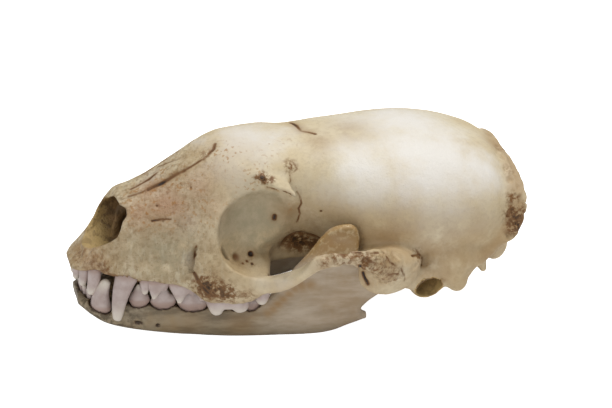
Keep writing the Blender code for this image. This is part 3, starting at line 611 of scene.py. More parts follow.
def lines(block, marks):
    # every mark's width, depth, stain and points on the bone, for each side that has it
    found = []
    for sides, wide, deep, stain, *at in marks:
        points = [block.seen(*place) for place in at]
        points = np.array([place for place in points if place is not None])
        if not len(points):
            print("a mark missed the bone:", at[0])
            continue
        for sign in (1, -1)[:sides]:
            found.append((wide, deep, stain, points * (1, sign, 1)))
    return found


def engrave(block, found):
    cells, places = shell(block)
    change = np.zeros(len(places))
    for wide, deep, stain, points in found:
        strengthen(change, places, points, wide, deep, 3)
    block.field[cells] += change.astype(np.float32)


def mainParts(places, quads):
    # leaves out the specks that aren't joined to the rest
    speck = 0.01  # the share of the faces that a part has at least
    label = np.arange(len(places))
    while True:
        roots = label[quads]
        lowest = np.repeat(roots.min(axis=1), 4).reshape(-1, 4)
        if (roots == lowest).all():
            break
        np.minimum.at(label, roots, lowest)
        label = label[label]
    part = label[quads[:, 0]]
    quads = quads[np.bincount(part)[part] > speck * len(quads)]
    used = np.unique(quads)
    return places[used], np.searchsorted(used, quads)


def addThing(name, data):
    thing = bpy.data.objects.new(name, data)
    bpy.context.scene.collection.objects.link(thing)
    return thing


def bodyMesh(name, block, triangles, mirrored=False):
    # the surface of the bone in a block, thinned to about this many triangles
    grid = openvdb.FloatGrid()
    limit = 3 * block.step
    grid.background = limit
    grid.copyFromArray(np.clip(block.field, -limit, limit))
    places, quads = mainParts(*grid.convertToQuads(isovalue=0.0))
    places = places * block.step + block.low - np.array([midStation, 0, 0])
    if mirrored:
        places[:, 1] *= -1
        quads = quads[:, ::-1]
    data = bpy.data.meshes.new(name)
    data.vertices.add(len(places))
    data.vertices.foreach_set("co", (places * mm).ravel())
    data.loops.add(quads.size)
    data.loops.foreach_set("vertex_index", quads.ravel().astype(np.int32))
    data.polygons.add(len(quads))
    data.polygons.foreach_set("loop_start", np.arange(0, quads.size, 4, dtype=np.int32))
    data.polygons.foreach_set("loop_total", np.full(len(quads), 4, np.int32))
    data.update(calc_edges=True)
    thing = addThing(name, data)
    if len(quads) * 2 > triangles:
        thin = thing.modifiers.new("thinned", "DECIMATE")
        thin.ratio = triangles / (len(quads) * 2)
        graph = bpy.context.evaluated_depsgraph_get()
        thing.data = bpy.data.meshes.new_from_object(thing.evaluated_get(graph))
        thing.data.name = name
        thing.modifiers.clear()
    thing.data.polygons.foreach_set("use_smooth", np.ones(len(thing.data.polygons), bool))
    print(name, len(thing.data.polygons), "faces")
    return thing


def gumLine(places, row, strength):
    # the dark line round the teeth, painted shade in the narrow gap where the bone meets them
    best = np.full(len(places), nothingNear)
    for name in toothNames(row):
        for low, high, distance in toothForms(name):
            for sign in (1, -1):
                turned = places * (1, sign, 1)
                near = np.nonzero(np.all((turned > low - 1) & (turned < high + 1), axis=1))[0]
                best[near] = np.minimum(best[near], distance(*turned[near].T))
    return strength * np.interp(best, (0.1, 0.6), (1.0, 0.0))


def vertexPlaces(thing):
    # in millimetres, as station, out and height
    places = np.empty(len(thing.data.vertices) * 3)
    thing.data.vertices.foreach_get("co", places)
    return places.reshape(-1, 3) / mm + np.array([midStation, 0, 0])


def paint(thing, name, values):
    layer = thing.data.attributes.new(name, "FLOAT", "POINT")
    layer.data.foreach_set("value", np.clip(values, 0, 1).astype(np.float32))


# The cranium's marks: how many sides have it, its width and depth in millimetres, how dark it is painted
# (earth in cracks, painted shade in holes and grooves), and its points in the photograph
craniumMarks = [
    # sutures and cracks
    (2, 0.2, 0.14, 0.4, (121, 199.5), (135, 195.5), (148, 189.5)),
    (2, 0.36, 0.5, 1.3, (148, 189), (153, 186.5), (157, 184.5), (162, 182.8), (166, 180), (171, 177),
     (176, 174), (184, 170)),
    (2, 0.26, 0.2, 0.75, (184, 170), (193, 165), (201, 160)),
    (1, 0.25, 0.12, 0.5, (158, 167), (168, 163), (182, 157)),
    (1, 0.34, 0.2, 0.85, (215, 143), (213.5, 149), (210, 152), (207, 155), (203, 159)),
    (1, 0.3, 0.3, 0.95, (276, 121.8), (290, 122), (296, 125.5), (301, 130), (308, 131.5), (315, 134)),
    (1, 0.2, 0.15, 0.9, (267, 187), (276, 189.5), (284, 192), (290, 194.5)),
    (1, 0.16, 0.12, 0.6, (292, 190), (290.5, 182), (289.5, 172)),
    (2, 0.2, 0.2, 0.8, (297, 192), (300, 197), (301.5, 203), (298.6, 208), (300, 214), (297, 222)),
    (1, 0.2, 0.15, 0.7, (152, 221), (160, 219.5), (171, 219)),
    (1, 0.3, 0.3, 0.6, (163, 221), (162, 219.5)),
    (1, 0.24, 0.12, 0.5, (176, 224), (182, 228), (184, 233)),
    (2, 0.22, 0.5, 1, (196, 246), (194.5, 256), (193.5, 272)),
    (1, 0.4, 0.14, 0.8, (195, 274), (199, 283), (206, 291), (214, 297)),
    (1, 0.22, 0.1, 0.35, (288, 160), (294, 163), (297, 169), (293, 173), (287, 171)),
    # the groove behind the eye socket, painted dark along its upper edge as painted shade
    (2, 0.5, 0.9, 1.1, (283, 246), (287, 239), (294, 234.5), (304, 234), (314, 236.5), (322, 241)),
    # brown lines of the nose's roof
    (1, 0.3, 0.1, 0.6, (131, 189), (146, 181), (158, 173)),
    (1, 0.3, 0.1, 0.45, (128, 197), (142, 192), (152, 186)),
    # crevices in the rear of the cheekbone
    (1, 0.26, 0.4, 0.9, (340, 252), (347, 253.5), (354, 252), (366, 253.5), (378, 252.5)),
    (1, 0.2, 0.25, 0.7, (342, 256), (350, 257), (359, 256)),
    (1, 0.4, 0.25, 0.9, (343, 247), (346, 250)),
    (1, 0.45, 0.7, 1.1, (364, 261), (371, 264), (377, 266.5)),
    (1, 0.3, 0.4, 1, (360, 266), (363, 273), (368, 284)),
    (1, 0.2, 0.3, 0.8, (377, 266), (384, 271), (391, 275), (398, 274)),
    (1, 0.2, 0.3, 0.75, (373, 283), (381, 279), (388, 282), (394, 279)),
    (1, 0.2, 0.3, 0.7, (386, 256), (390, 262), (396, 266)),
    (1, 0.24, 0.3, 0.8, (412, 256), (419, 254), (422, 258), (421, 265)),
    (1, 0.26, 0.3, 0.5, (400, 268), (404, 274), (405, 281)),
    # holes for nerves and vessels, painted dark inside as painted shade
    (2, 0.62, 1.3, 2, (236.5, 257)),
    (2, 0.42, 0.9, 2, (250.5, 254)),
    (2, 0.34, 0.9, 1.8, (274.5, 216), (274, 218.5)),
    (1, 0.26, 0.5, 1.4, (243, 263)),
    (1, 0.24, 0.4, 1.4, (247, 261)),
    (1, 0.24, 0.4, 1.3, (252, 264)),
    (1, 0.16, 0.4, 0.8, (239, 265)),
    (1, 0.2, 0.4, 0.9, (321, 211)),
    (2, 0.22, 0.4, 0.9, (157, 206)),
    (1, 0.24, 0.3, 0.8, (191, 187.5)),
    (1, 0.24, 0.4, 1, (221, 282)),
    (2, 0.3, 0.6, 1, (442, 280), (445, 281)),
    (1, 0.26, 0.5, 1, (387, 261.5)),
]


def growCranium():
    shape = cranium
    half = Block(*shape["box"], shape["step"])
    soft = shape["soft"]
    for name in ("body", "palate", "cheek"):
        half.join(loft(shape[name]), soft[name])
    for values in shape["lumps"].values():
        half.join(ball(*values), soft["lumps"])
    for values in shape["spurs"].values():
        half.join(spur(*values), soft["spurs"])
    for name in ("toothRow", "arch", "crest"):
        half.join(strand(shape[name], shape["crestHub"] if name == "crest" else None), soft[name])
    for name in ("orbit", "orbitFloor"):
        half.carve(ball(*shape[name]), soft[name])
    half.join(strand(shape["browPlate"]), soft["browPlate"])
    half.carve(loft(shape["nose"]), soft["nose"])
    half.join(strand(shape["scrolls"]), soft["scrolls"])
    half.carve(loft(shape["throat"]), soft["throat"])
    # the trough under the cheekbone that the lower jaw's condyle lies in
    station, height = jaw["joint"]
    radius = jaw["jointRadius"] + jaw["clearance"]
    start = (station, shape["jointInner"], height)
    end = (station, jaw["jointOut"][1] - radius + jaw["clearance"], height)
    half.carve(spur(start, end, radius, radius), soft["joint"])
    for name in ("brain", "spine"):
        half.carve(loft(shape[name]), soft[name])
    for start, end, radius, narrow in shape["holes"].values():
        half.carve(spur(start, end, radius, radius, narrow), soft["holes"])
    half.openSockets("upper")
    print("cranium grown")
    block = half.mirrored(joined=True)
    openNose(block)
    return block


def openNose(block):
    # the near side of the nose's mouth, cut along the rim that the photograph shows
    nose = smoothRows(cranium["nose"], curveStep)
    cells, s, y, z = block.part(*cranium["noseBox"], margin=0.0)
    places = np.stack(np.broadcast_arrays(s, y, z), axis=-1).reshape(-1, 3).astype(float)
    rim = outlineDistance(np.array(cranium["nearRim"], float), inPicture(places)) / pixelsPerMm
    floor = np.interp(places[:, 0], nose[:, 0], nose[:, 5]) - places[:, 2]
    # the roof is also cut past the midplane, so that the far wall shows
    farther = np.interp(places[:, 2], (19.5, 22.5), (0.0, 2.4))
    away = np.maximum(np.maximum(rim, floor), places[:, 1] - farther).reshape(block.field[cells].shape)
    block.field[cells] = np.maximum(block.field[cells], -away.astype(np.float32))


def insideNose(places):
    # 1 on the walls of the nose's hollow
    nose = smoothRows(cranium["nose"], curveStep)
    wide, middle, top, low = [np.interp(places[:, 0], nose[:, 0], nose[:, k]) for k in (2, 3, 4, 5)]
    tall = np.where(places[:, 2] > middle, top - middle, middle - low)
    skin = 0.35
    size = np.hypot(places[:, 1] / (wide + skin), (places[:, 2] - middle) / (tall + skin))
    return np.interp(size, (1.0, 1.06), (1.0, 0.0)) * (places[:, 0] < nose[-1, 0])


# Rough ground: place in the photograph, radius in millimetres, strength
roughSpots = [
    (385, 270, 4.4, 0.6), (372, 262, 2.6, 0.6), (395, 262, 2.6, 0.5), (380, 286, 3, 0.6),
    (345, 258, 3, 0.4), (334, 260, 2.4, 0.3), (328, 261, 2, 0.25), (356, 262, 2.4, 0.35),
    (402, 280, 2.4, 0.5), (430, 262, 2, 0.35), (418, 266, 1.8, 0.4), (460, 284, 2.2, 0.25),
    (488, 134, 2.6, 0.35), (503, 152, 2.6, 0.4), (512, 176, 2.6, 0.35), (518, 205, 2.6, 0.4),
    (514, 226, 2.6, 0.45), (505, 244, 2.4, 0.4),
    (150, 176, 3, 0.2), (160, 240, 4, 0.16), (200, 266, 3, 0.2), (84, 250, 3, 0.3), (96, 256, 3, 0.35),
    (205, 290, 2.6, 0.4), (232, 297, 2.8, 0.35), (255, 296, 2.6, 0.3), (262, 178, 1.6, 0.4),
    (288, 163, 1.8, 0.3), (240, 266, 1.8, 0.25), (110, 262, 2.4, 0.2), (186, 282, 2, 0.2),
]


def relief(block):
    # the bone's gentle unevenness, and rough ground where muscles and dirt have marked it
    cells, places = shell(block)
    snout = np.interp(places[:, 0], (20.0, 34.0), (1.0, 0.4))
    (high, broad), (low, fine) = cranium["hills"]
    change = high * unevenness(places, broad) + low * snout * unevenness(places, fine, 2)
    for middle, radius, strength in seenSpots(block, roughSpots):
        near, away = nearLine(places, middle, 1.6 * radius)
        pits = np.maximum(unevenness(places[near], 1.1, 2), -0.2)
        change[near] += strength * np.exp(-(away / radius) ** 4) * pits
    block.field[cells] += change.astype(np.float32)


# Soft patches of colour, in the same way
colourSpots = {
    # dark earth, and painted shade in the groove behind the eye socket
    "stain": [
        (325, 262, 1.6, 0.4), (335, 258, 1.8, 0.45), (346, 256, 2.2, 0.5), (378, 268, 3.6, 0.42),
        (366, 262, 1.8, 0.7), (346, 252, 1.4, 0.7), (358, 254, 1.4, 0.6), (390, 276, 3.4, 0.38),
        (262, 178, 1.3, 0.85), (270, 180, 1, 0.7), (206, 287, 2.2, 0.95), (216, 291, 2.2, 0.75),
        (226, 294, 2.4, 0.7), (248, 296, 2.2, 0.35), (516, 214, 2.2, 0.8), (515, 226, 1.8, 0.9),
        (513, 198, 1.6, 0.5), (508, 170, 1.4, 0.35), (418, 256, 1.6, 0.5), (80, 256, 2.4, 0.3),
        (94, 262, 2.2, 0.3), (105, 268, 2, 0.45), (292, 238, 2.4, 0.9), (300, 240, 2.4, 0.9),
        (312, 242, 2.2, 0.7), (112, 276, 1.4, 0.6), (290, 166, 1.5, 0.45), (500, 148, 1.6, 0.3),
        (252, 262, 1.6, 0.3), (205, 155, 1.5, 0.35), (172, 178, 1.3, 0.3),
    ],
    # tan grease, and painted shade on the walls behind the eye socket
    "rust": [
        (287, 212, 3.6, 1), (280, 243, 3.4, 1), (292, 222, 3, 0.7), (268, 262, 2.4, 0.5),
        (500, 145, 3, 0.8), (82, 248, 4, 0.75), (100, 256, 4, 0.6), (225, 278, 5, 0.25),
        (270, 282, 5, 0.1), (310, 222, 4, 0.6), (330, 218, 5, 0.4), (385, 266, 5, 0.75),
        (395, 236, 7, 0.6), (350, 228, 5, 0.5), (440, 246, 8, 0.55), (470, 236, 7, 0.4),
        (330, 262, 4, 0.6), (346, 257, 4, 0.6), (320, 140, 3, 0.5), (350, 130, 4, 0.4),
        (225, 170, 7, 0.35), (205, 200, 6, 0.4), (140, 222, 6, 0.55), (120, 250, 5, 0.5),
        (250, 200, 4, 0.3), (205, 250, 4, 0.4), (175, 200, 7, 0.4), (150, 270, 6, 0.4),
        (195, 160, 5, 0.3), (300, 215, 4, 0.6),
    ],
    # painted highlights, where the light falls on the top of the braincase and on the front rims
    "ivory": [
        (430, 155, 12, 1), (480, 170, 7, 0.9), (255, 138, 8, 0.8), (400, 120, 10, 0.9),
        (370, 165, 9, 0.8), (340, 185, 6, 0.5), (200, 140, 3, 0.5), (230, 165, 6, 0.5),
        (150, 176, 3, 0.4), (190, 262, 2.6, 0.35), (190, 225, 3, 0.4), (285, 175, 2, 0.4),
        (262, 280, 3, 0.4), (285, 275, 3, 0.55),
    ],
    "blush": [
        (165, 205, 3.4, 1), (175, 208, 2.6, 0.9), (140, 212, 2.8, 0.7), (180, 218, 3, 0.6),
        (200, 185, 3, 0.6), (150, 192, 2.6, 0.7), (90, 262, 2.6, 0.4), (215, 205, 3, 0.4),
    ],
    # grey: painted shade inside the eye sockets, and a greyer tone on the side of the snout
    "moss": [
        (165, 255, 5, 0.9), (185, 240, 4, 0.7), (135, 252, 4, 0.6), (250, 215, 6.5, 0.95),
        (262, 232, 6, 0.9), (236, 240, 4, 0.8), (280, 220, 3.6, 0.5),
    ],
}


def colourCranium(thing, block, found):
    places = vertexPlaces(thing)
    for name, spots in colourSpots.items():
        amount = np.zeros(len(places))
        for middle, radius, strength in seenSpots(block, spots):
            strengthen(amount, places, middle, radius, strength)
        if name == "rust":
            # the crest is brown along its edge, and every mark has a brown rim
            edge, reach = 2.1, 4.0
            for sign in (1, -1):
                crest = smoothRows(cranium["crest"], 1.0)[:, :3] * (1, sign, 1)
                strengthen(amount, places, crest, edge, 0.75, reach / edge, 4)
            for wide, deep, stain, points in found:
                strengthen(amount, places, points, 3.5 * wide, 0.6 * stain)
        paint(thing, name, amount)
    crack = np.zeros(len(places))
    # cracks hold more earth in some places than in others, and the painted shade in holes is broken up alike
    broken = 0.85 + 0.5 * unevenness(places, 1.6)
    for wide, deep, stain, points in found:
        strengthen(crack, places, points, wide, stain * broken, 3)
    paint(thing, "crack", np.maximum(crack, gumLine(places, "upper", 0.5)))
    # both sides at once, since their eye sockets and ears are alike
    folded = np.abs(places)
    middle, half = np.split(np.array(cranium["orbit"]), 2)
    size = np.linalg.norm((folded - middle) / half, axis=1)
    # the inside of each eye socket, where the material paints shade
    paint(thing, "socket", np.interp(size, (1.005, 1.05), (1.0, 0.0)))
    start, end, radius, narrow = cranium["holes"]["ear"]
    # painted shade in the ear, darkest under its upper rim, and in the nose, darkest deep inside
    inEar = lineDistance(folded, np.array([start, end])) < radius + 0.25
    ear = inEar * np.interp(folded[:, 2] + 0.6 * folded[:, 1], (17.5, 20.0), (0.4, 1.0))
    nose = insideNose(places) * np.interp(places[:, 0], (4.0, 8.5), (0.38, 1.0))
    paint(thing, "passage", np.maximum(nose, ear))
    print("cranium coloured")


# The lower jaw's tan patches, one of them painted shade on its upright part under the cheekbone,
# and its holes for nerves, painted dark inside as painted shade, in the same ways
jawSpots = [
    (268, 313, 1, 0.6), (273, 309, 1, 0.7), (278, 304, 1, 0.8), (283, 299, 1, 0.8), (289, 294, 1, 0.8),
    (295, 289, 1.1, 0.8), (301, 286, 1.2, 0.8), (345, 300, 4, 0.25), (310, 284, 1.2, 0.6),
    (240, 325, 3, 0.4), (190, 322, 3, 0.3), (335, 245, 3, 0.5), (385, 285, 3, 0.8),
]

jawMarks = [
    (1, 0.4, 1, 1, (137, 323), (140, 324)),
    (1, 0.34, 1, 1, (158, 325.5)),
]


def ramusForm():
    # the upright plate, from its outline seen from the side
    outline = smoothRows([(*point, 0) for point in jaw["ramus"] + jaw["ramus"][:1]], 0.6)[:, :2]
    foot = np.array([*jaw["ramusFoot"], 0.0])
    turn, lean = math.radians(jaw["ramusTurn"]), math.radians(jaw["ramusLean"])
    along = np.array([math.cos(turn), math.sin(turn), 0.0])
    face = np.array([-math.sin(turn) * math.cos(lean), math.cos(turn) * math.cos(lean), -math.sin(lean)])
    tall = np.cross(along, face)
    # how far the cells of the plate's own plane are from its outline
    cell = 0.2
    level = np.arange(27.0, 60.0, cell)
    rise = np.arange(-3.0, 27.0, cell)
    flat = np.stack(np.meshgrid(level, rise, indexing="ij"), axis=-1).reshape(-1, 2)
    plate = outlineDistance(outline, flat).reshape(len(level), len(rise)).astype(np.float32)

    def distance(s, y, z):
        a, b, c = [(s - foot[0]) * w[0] + (y - foot[1]) * w[1] + z * w[2] for w in (along, tall, face)]
        u = np.clip((a + foot[0] - level[0]) / cell, 0, len(level) - 2)
        v = np.clip((b - rise[0]) / cell, 0, len(rise) - 2)
        i, j = u.astype(int), v.astype(int)
        u, v = u - i, v - j
        side = (plate[i, j] * (1 - u) + plate[i + 1, j] * u) * (1 - v)
        side = side + (plate[i, j + 1] * (1 - u) + plate[i + 1, j + 1] * u) * v
        # thick at its rim and thin in the hollow where the chewing muscle lay
        thick = jaw["ramusThick"] / 2 - jaw["ramusHollow"] * np.clip(-side / 2.5, 0, 1)
        rim = jaw["ramusRound"]
        side, through = side + rim, np.abs(c) - thick + rim
        corner = np.sqrt(np.maximum(side, 0) ** 2 + np.maximum(through, 0) ** 2)
        return corner + np.minimum(np.maximum(side, through), 0) - rim
    return *jaw["ramusBox"], distance


def growJaw():
    shape = jaw
    block = Block(*shape["box"], shape["step"])
    block.join(loft(shape["body"]))
    block.join(ramusForm(), shape["blend"])
    station, height = shape["joint"]
    inner, outer = shape["jointOut"]
    radius = shape["jointRadius"]
    start, end = (station, inner + radius, height), (station, outer - radius, height)
    block.join(spur(start, end, radius, radius), shape["jointBlend"])
    block.openSockets("lower")
    # flat where it meets the other half at the chin, and where it rests
    y, z = block.axes[1][:, None], block.axes[2]
    block.field = np.maximum(block.field, np.maximum(shape["chinGap"] - y, -z))
    cells, places = shell(block)
    (high, broad), (low, fine) = shape["hills"]
    change = high * unevenness(places, broad, 2)
    # the small ones are drawn out along the jaw, and there are none on the border that it rests on
    change += low * unevenness(places * (0.35, 1, 1), fine, 2)
    change[places[:, 2] < 0.3] = 0
    block.field[cells] += change.astype(np.float32)
    print("jaw grown")
    return block


def colourJaw(thing, block, found):
    # block is the half that the photograph shows, on which the patches' places are found
    places = vertexPlaces(thing)
    # painted shade round the teeth and in the holes for nerves
    stained = gumLine(places, "lower", 0.75)
    for wide, deep, stain, points in found:
        strengthen(stained, places, points, wide, 1.6 * stain, 4)
    paint(thing, "stain", stained)
    tanAndShade = np.zeros(len(places))
    # tan patches, and painted shade on the upright part under the cheekbone
    for middle, radius, strength in seenSpots(block, jawSpots):
        strengthen(tanAndShade, places, middle, radius, strength)
    paint(thing, "rust", tanAndShade)


def hex3(code):
    # an sRGB hex colour as linear values
    values = [int(code[k:k + 2], 16) / 255 for k in (1, 3, 5)]
    return [v / 12.92 if v <= 0.04045 else ((v + 0.055) / 1.055) ** 2.4 for v in values]


def addNode(tree, kind, inputs=None, **settings):
    # one node with its settings, and its inputs as values or as sockets to link from
    node = tree.nodes.new(kind)
    for name, value in settings.items():
        setattr(node, name, value)
    for name, value in (inputs or {}).items():
        socket = node.inputs[name]
        if isinstance(value, bpy.types.NodeSocket):
            tree.links.new(value, socket)
        elif isinstance(value, str):
            socket.default_value = (*hex3(value), 1)
        else:
            socket.default_value = value
    return node


def startMaterial(name, roughness, ior):
    # a material, its surface, and the place on the piece to read patterns at
    material = bpy.data.materials.new(name)
    material.use_nodes = True
    surface = material.node_tree.nodes["Principled BSDF"]
    surface.inputs["Roughness"].default_value = roughness
    surface.inputs["IOR"].default_value = ior
    return material, surface, addNode(material.node_tree, "ShaderNodeTexCoord").outputs["Object"]


def noise(place, grainMm, detail=3.0, roughness=0.55, stretch=None):
    # a pattern with features about grainMm across
    tree = place.id_data
    if stretch:
        place = addNode(tree, "ShaderNodeMapping", {"Vector": place, "Scale": stretch}).outputs["Vector"]
    inputs = {"Vector": place, "Scale": 1 / (grainMm * mm), "Detail": detail, "Roughness": roughness}
    return addNode(tree, "ShaderNodeTexNoise", inputs).outputs["Fac"]


def mixIn(amount, under, over):
    # one colour over another, the more the larger the amount
    node = addNode(amount.id_data, "ShaderNodeMix", {0: amount, 6: under, 7: over}, data_type="RGBA")
    return node.outputs[2]


def coats(colour, *layers):
    # colours laid over one another, each by its own amount
    for amount, code in layers:
        colour = mixIn(amount, colour, code)
    return colour


def calc(operation, a, b, clamp=False):
    return addNode(a.id_data, "ShaderNodeMath", {0: a, 1: b}, operation=operation, use_clamp=clamp).outputs[0]


def times(a, b):
    return calc("MULTIPLY", a, b)


def between(value, low, high):
    # 0 below low and 1 above high
    inputs = {"Value": value, "From Min": low, "From Max": high}
    node = addNode(value.id_data, "ShaderNodeMapRange", inputs, interpolation_type="SMOOTHSTEP")
    return node.outputs["Result"]


def painted(place, *names):
    # what was painted on the mesh under each name
    nodes = [addNode(place.id_data, "ShaderNodeAttribute", attribute_name=name) for name in names]
    return [node.outputs["Fac"] for node in nodes]


def axesOf(place):
    return addNode(place.id_data, "ShaderNodeSeparateXYZ", {"Vector": place}).outputs


def finishSurface(surface, colour, height, depthMm):
    tree = surface.id_data
    inputs = {"Height": height, "Distance": depthMm * mm, "Strength": 1.0}
    tree.links.new(addNode(tree, "ShaderNodeBump", inputs).outputs["Normal"], surface.inputs["Normal"])
    tree.links.new(colour, surface.inputs["Base Color"])


def dryBone():
    # bone that has been boiled clean and dried: matt, creamy white, with yellow grease left in it here and
    # there, and dark earth in its cracks and rough places; painted highlights lie on its top, and painted
    # shade below, in the eye sockets, holes and passages and round the teeth
    material, surface, place = startMaterial("boiled and dried bone", 0.55, 1.5)
    stain, rust, ivory, blush, moss = painted(place, "stain", "rust", "ivory", "blush", "moss")
    passage, crack, socket = painted(place, "passage", "crack", "socket")
    broad = noise(place, 13.0)
    patch = noise(place, 4.0, 5.0, 0.6)
    blotch = noise(place, 2.0, 5.0, 0.65)
    fine = noise(place, 0.9, 5.0, 0.7)
    x, y, z = axesOf(place)
    # painted shade: the lower parts are darker and browner, in patches
    lower = times(between(z, 0.027, 0.010), between(patch, 0.1, 0.8))
    snout = between(x, -0.010, -0.022)
    mottled = times(snout, between(blotch, 0.3, 0.68))
    grit = times(calc("ADD", times(snout, 0.8), 0.2), between(fine, 0.46, 0.64))
    fibres = times(snout, between(noise(place, 0.8, 4.0, 0.6, (1.0, 1.0, 0.3)), 0.5, 0.66))
    # painted highlight, broken up by the patches
    highlightMask = calc("ADD", ivory, times(calc("SUBTRACT", patch, 0.5), 0.9))
    mottledOrbitShade = times(socket, between(blotch, 0.46, 0.66))
    # brown specks on the upper side, in front of the braincase
    speckled = times(between(x, 0.004, -0.006), between(broad, 0.40, 0.6))
    specks = times(between(noise(place, 0.8, 2.0, 0.5), 0.585, 0.64), speckled)
    specks = calc("SUBTRACT", times(specks, between(z, 0.019, 0.024)), socket, clamp=True)
    crust = times(stain, between(fine, 0.3, 0.62))
    colour = coats(
        mixIn(between(broad, 0.35, 0.65), "#dac7a0", "#e6d9bb"),
        # the snout keeps more grease and is darker; the lower parts get painted shade, darker and browner in
        # patches
        (times(lower, 0.65), "#b9996a"),
        (times(mottled, 0.5), "#a98a5b"),
        (times(grit, 0.7), "#896a41"),
        (times(fibres, 0.65), "#e6dbbc"),
        # painted highlights, whitest on the top of the braincase
        (between(highlightMask, 0.12, 1.05), "#f2ede4"),
        # painted shade inside the eye sockets, greyer and mottled darker
        (times(socket, 0.7), "#b8ab90"),
        (times(mottledOrbitShade, 0.45), "#94856a"),
        # tan grease, with painted shade behind the eye socket
        (times(rust, between(patch, 0.15, 0.6)), "#a38053"),
        (times(blush, 0.55), "#b57f5f"),
        # grey, as painted shade in the eye sockets and a greyer tone on the snout
        (times(moss, between(blotch, 0.2, 0.7)), "#b0a587"),
        (times(specks, 0.7), "#a87537"),
        # the walls of the nose and the ear are tan, and are painted darker inward and under their upper rims,
        # as painted shade
        (between(passage, 0.1, 0.45), "#c2a56c"),
        (between(passage, 0.5, 1.0), "#8a6a42"),
        (times(passage, between(blotch, 0.5, 0.6)), "#6b5230"),
        # earth, thin at its edges, and cracks; both also carry painted shade in holes, in the groove behind
        # the eye socket and round the teeth
        (between(crust, 0.06, 0.45), "#80592e"),
        (between(crust, 0.40, 0.85), "#3b2812"),
        (between(crack, 0.08, 0.5), "#7a5329"),
        (between(crack, 0.42, 0.85), "#2c1c0c"))
    grain = calc("ADD", noise(place, 0.35, 4.0, 0.6), times(calc("ADD", fine, blotch), 1.5))
    finishSurface(surface, colour, times(grain, calc("ADD", times(snout, 0.8), 0.5)), 0.15)
    return material


def jawBone():
    # the lower jaw is greasier and greyer than the rest, streaked along its length
    material, surface, place = startMaterial("greasy grey bone", 0.48, 1.5)
    rust, stain = painted(place, "rust", "stain")
    streaks = noise(place, 1.6, 4.0, 0.6, (0.22, 1.0, 1.0))
    patch = noise(place, 6.0)
    fine = noise(place, 0.9, 4.0, 0.65)
    x, y, z = axesOf(place)
    rear = between(x, -0.016, 0.002)
    upright = times(between(z, 0.013, 0.018), rear)
    crust = times(stain, between(fine, 0.2, 0.55))
    colour = coats(
        mixIn(between(streaks, 0.35, 0.65), "#7c6e57", "#a5957b"),
        (rear, mixIn(between(streaks, 0.3, 0.7), "#b29f86", "#cbbca7")),
        (times(between(patch, 0.5, 0.72), 0.5), "#a5885e"),
        # the top of the upright part is browner: a tan tone, with painted shade under the cheekbone
        (times(upright, between(patch, 0.1, 0.5)), "#ab8b5c"),
        (times(times(upright, between(fine, 0.5, 0.62)), 0.8), "#cdb88f"),
        # painted shade along the lower border that the jaw rests on
        (times(between(z, 0.0035, 0.0005), 0.45), "#7a6b50"),
        # tan patches, one of them painted shade under the cheekbone
        (times(rust, 0.95), "#a27b45"),
        (times(times(between(x, -0.024, -0.034), between(fine, 0.45, 0.6)), 0.8), "#54462f"),
        # painted shade round the teeth and in the holes for nerves, as dark crust
        (between(crust, 0.1, 0.5), "#4a3620"),
        (between(crust, 0.45, 0.9), "#1d140b"))
    finishSurface(surface, colour, calc("ADD", fine, streaks), 0.05)
    return material


def enamel():
    # tooth enamel: smooth, pinkish white, paler at the tips and darker in the folds by the gum
    material, surface, place = startMaterial("tooth enamel", 0.28, 1.62)
    crown, = painted(place, "crown")
    colour = coats(
        mixIn(between(noise(place, 1.8, 3.0), 0.3, 0.7), "#b39e96", "#c9b9b3"),
        (between(crown, 0.5, 1.0), "#e2d8c9"),
        (between(crown, 0.14, -0.02), "#b0968a"),
        (between(crown, 0.0, -0.06), "#8a6d58"))
    finishSurface(surface, colour, noise(place, 0.6, 3.0), 0.03)
    return material


def finishPiece(thing, material, nodes):
    thing.data.materials.clear()
    thing.data.materials.append(material)
    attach(thing, "root")
    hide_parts(*nodes)


def makeTooth(name, material):
    forms = toothForms(name)
    margin = 0.6
    low = np.min([form[0] for form in forms], axis=0) - margin
    high = np.max([form[1] for form in forms], axis=0) + margin
    block = Block(low, high, teeth["step"])
    for index, form in enumerate(forms):
        block.join(form, teeth["blend"] if index else 0)
    bases = np.array([values[0][2] for values in teeth[name]])
    tips = np.array([values[1][2] for values in teeth[name]])
    gum, top = bases.mean(), tips.min() if name.startswith("upper") else tips.max()
    for sideName, mirrored in (("left", True), ("right", False)):
        node = name + "_" + sideName
        thing = bodyMesh(node + "_crown", block, teeth["triangles"], mirrored)
        places = vertexPlaces(thing)
        paint(thing, "crown", (places[:, 2] - gum) / (top - gum))
        finishPiece(thing, material, [node])


craniumBlock = growCranium()
craniumFound = lines(craniumBlock, craniumMarks)
relief(craniumBlock)
engrave(craniumBlock, craniumFound)
craniumThing = bodyMesh("cranium_bone", craniumBlock, cranium["triangles"])
colourCranium(craniumThing, craniumBlock, craniumFound)
finishPiece(craniumThing, dryBone(), ["cranium"])
print("cranium done")

jawMaterial = jawBone()
rightJaw = growJaw()
leftJaw = rightJaw.mirrored()
jawFound = lines(leftJaw, jawMarks)
engrave(leftJaw, jawFound)
for sideName, block in (("left", leftJaw), ("right", rightJaw)):
    thing = bodyMesh("mandible_" + sideName + "_bone", block, jaw["triangles"])
    colourJaw(thing, leftJaw, jawFound)
    finishPiece(thing, jawMaterial, ["mandible_" + sideName])
print("jaw done")

enamelMaterial = enamel()
for toothName in toothNames():
    makeTooth(toothName, enamelMaterial)
print("teeth done")


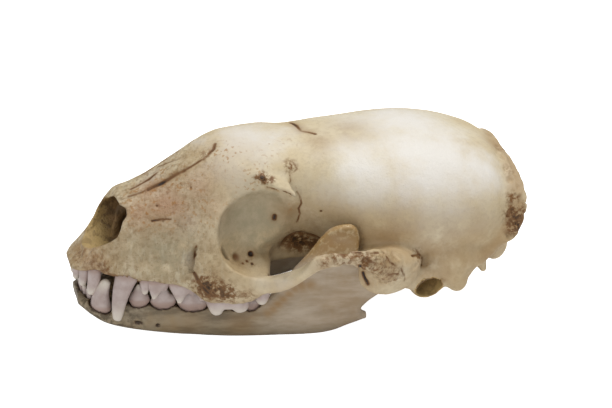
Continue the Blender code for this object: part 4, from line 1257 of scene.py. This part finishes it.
def setStage():
    # white paper that fills the picture, since the camera looks down on it, and even light all round
    data = bpy.data.meshes.new("floor")
    reach = 6.0
    corners = [(-reach, -reach, 0), (reach, -reach, 0), (reach, reach, 0), (-reach, reach, 0)]
    data.from_pydata(corners, [], [(0, 1, 2, 3)])
    floor = addThing("floor", data)
    material, surface, place = startMaterial("matt white paper", 0.9, 1.45)
    tree = material.node_tree
    mottled = mixIn(between(noise(place, 60.0), 0.3, 0.7), "#f6f6f6", "#f9f9f9")
    tree.links.new(mottled, surface.inputs["Base Color"])
    # the paper is lit a little more than the skull, so that it comes out white
    surface.inputs["Emission Color"].default_value = (1, 1, 1, 1)
    seen = addNode(tree, "ShaderNodeLightPath").outputs["Is Camera Ray"]
    tree.links.new(seen, surface.inputs["Emission Strength"])
    data.materials.append(material)
    world = bpy.data.worlds.new("white studio")
    bpy.context.scene.world = world
    world.use_nodes = True
    background = world.node_tree.nodes["Background"].inputs
    background["Color"].default_value = (1, 1, 1, 1)
    background["Strength"].default_value = 0.34


def turnTo(thing, place, right, up, back):
    # sets a lamp or the camera down at a place in metres, looking against back
    axes = Matrix(np.stack([right, up, back], axis=1).tolist()).to_4x4()
    thing.matrix_world = Matrix.Translation(place) @ axes


def addLight(name, place, size, watts):
    data = bpy.data.lights.new(name, "AREA")
    data.shape = "DISK"
    data.size = size
    data.energy = watts
    middle = (0.0, 0.0, 0.02)  # of the skull, in metres
    back = unit(np.array(place) - middle)
    right = unit(np.cross([0.0, 0.0, 1.0], back))
    turnTo(addThing(name, data), place, right, np.cross(back, right), back)


def setCamera():
    place, right, up, back = cameraAxes()
    data = bpy.data.cameras.new("photograph")
    data.lens = view["lens"]
    data.sensor_width = view["sensor"]
    data.clip_start = 0.01
    thing = addThing("photograph", data)
    turnTo(thing, (place - np.array([midStation, 0, 0])) * mm, right, up, back)
    bpy.context.scene.camera = thing


setStage()
addLight("overhead", (0.14, 0.04, 0.60), 0.30, 2.2)
addLight("front fill", (-0.34, -0.50, 0.34), 0.4, 0.8)
setCamera()
bpy.context.scene.view_settings.view_transform = "Standard"
print("stage set")
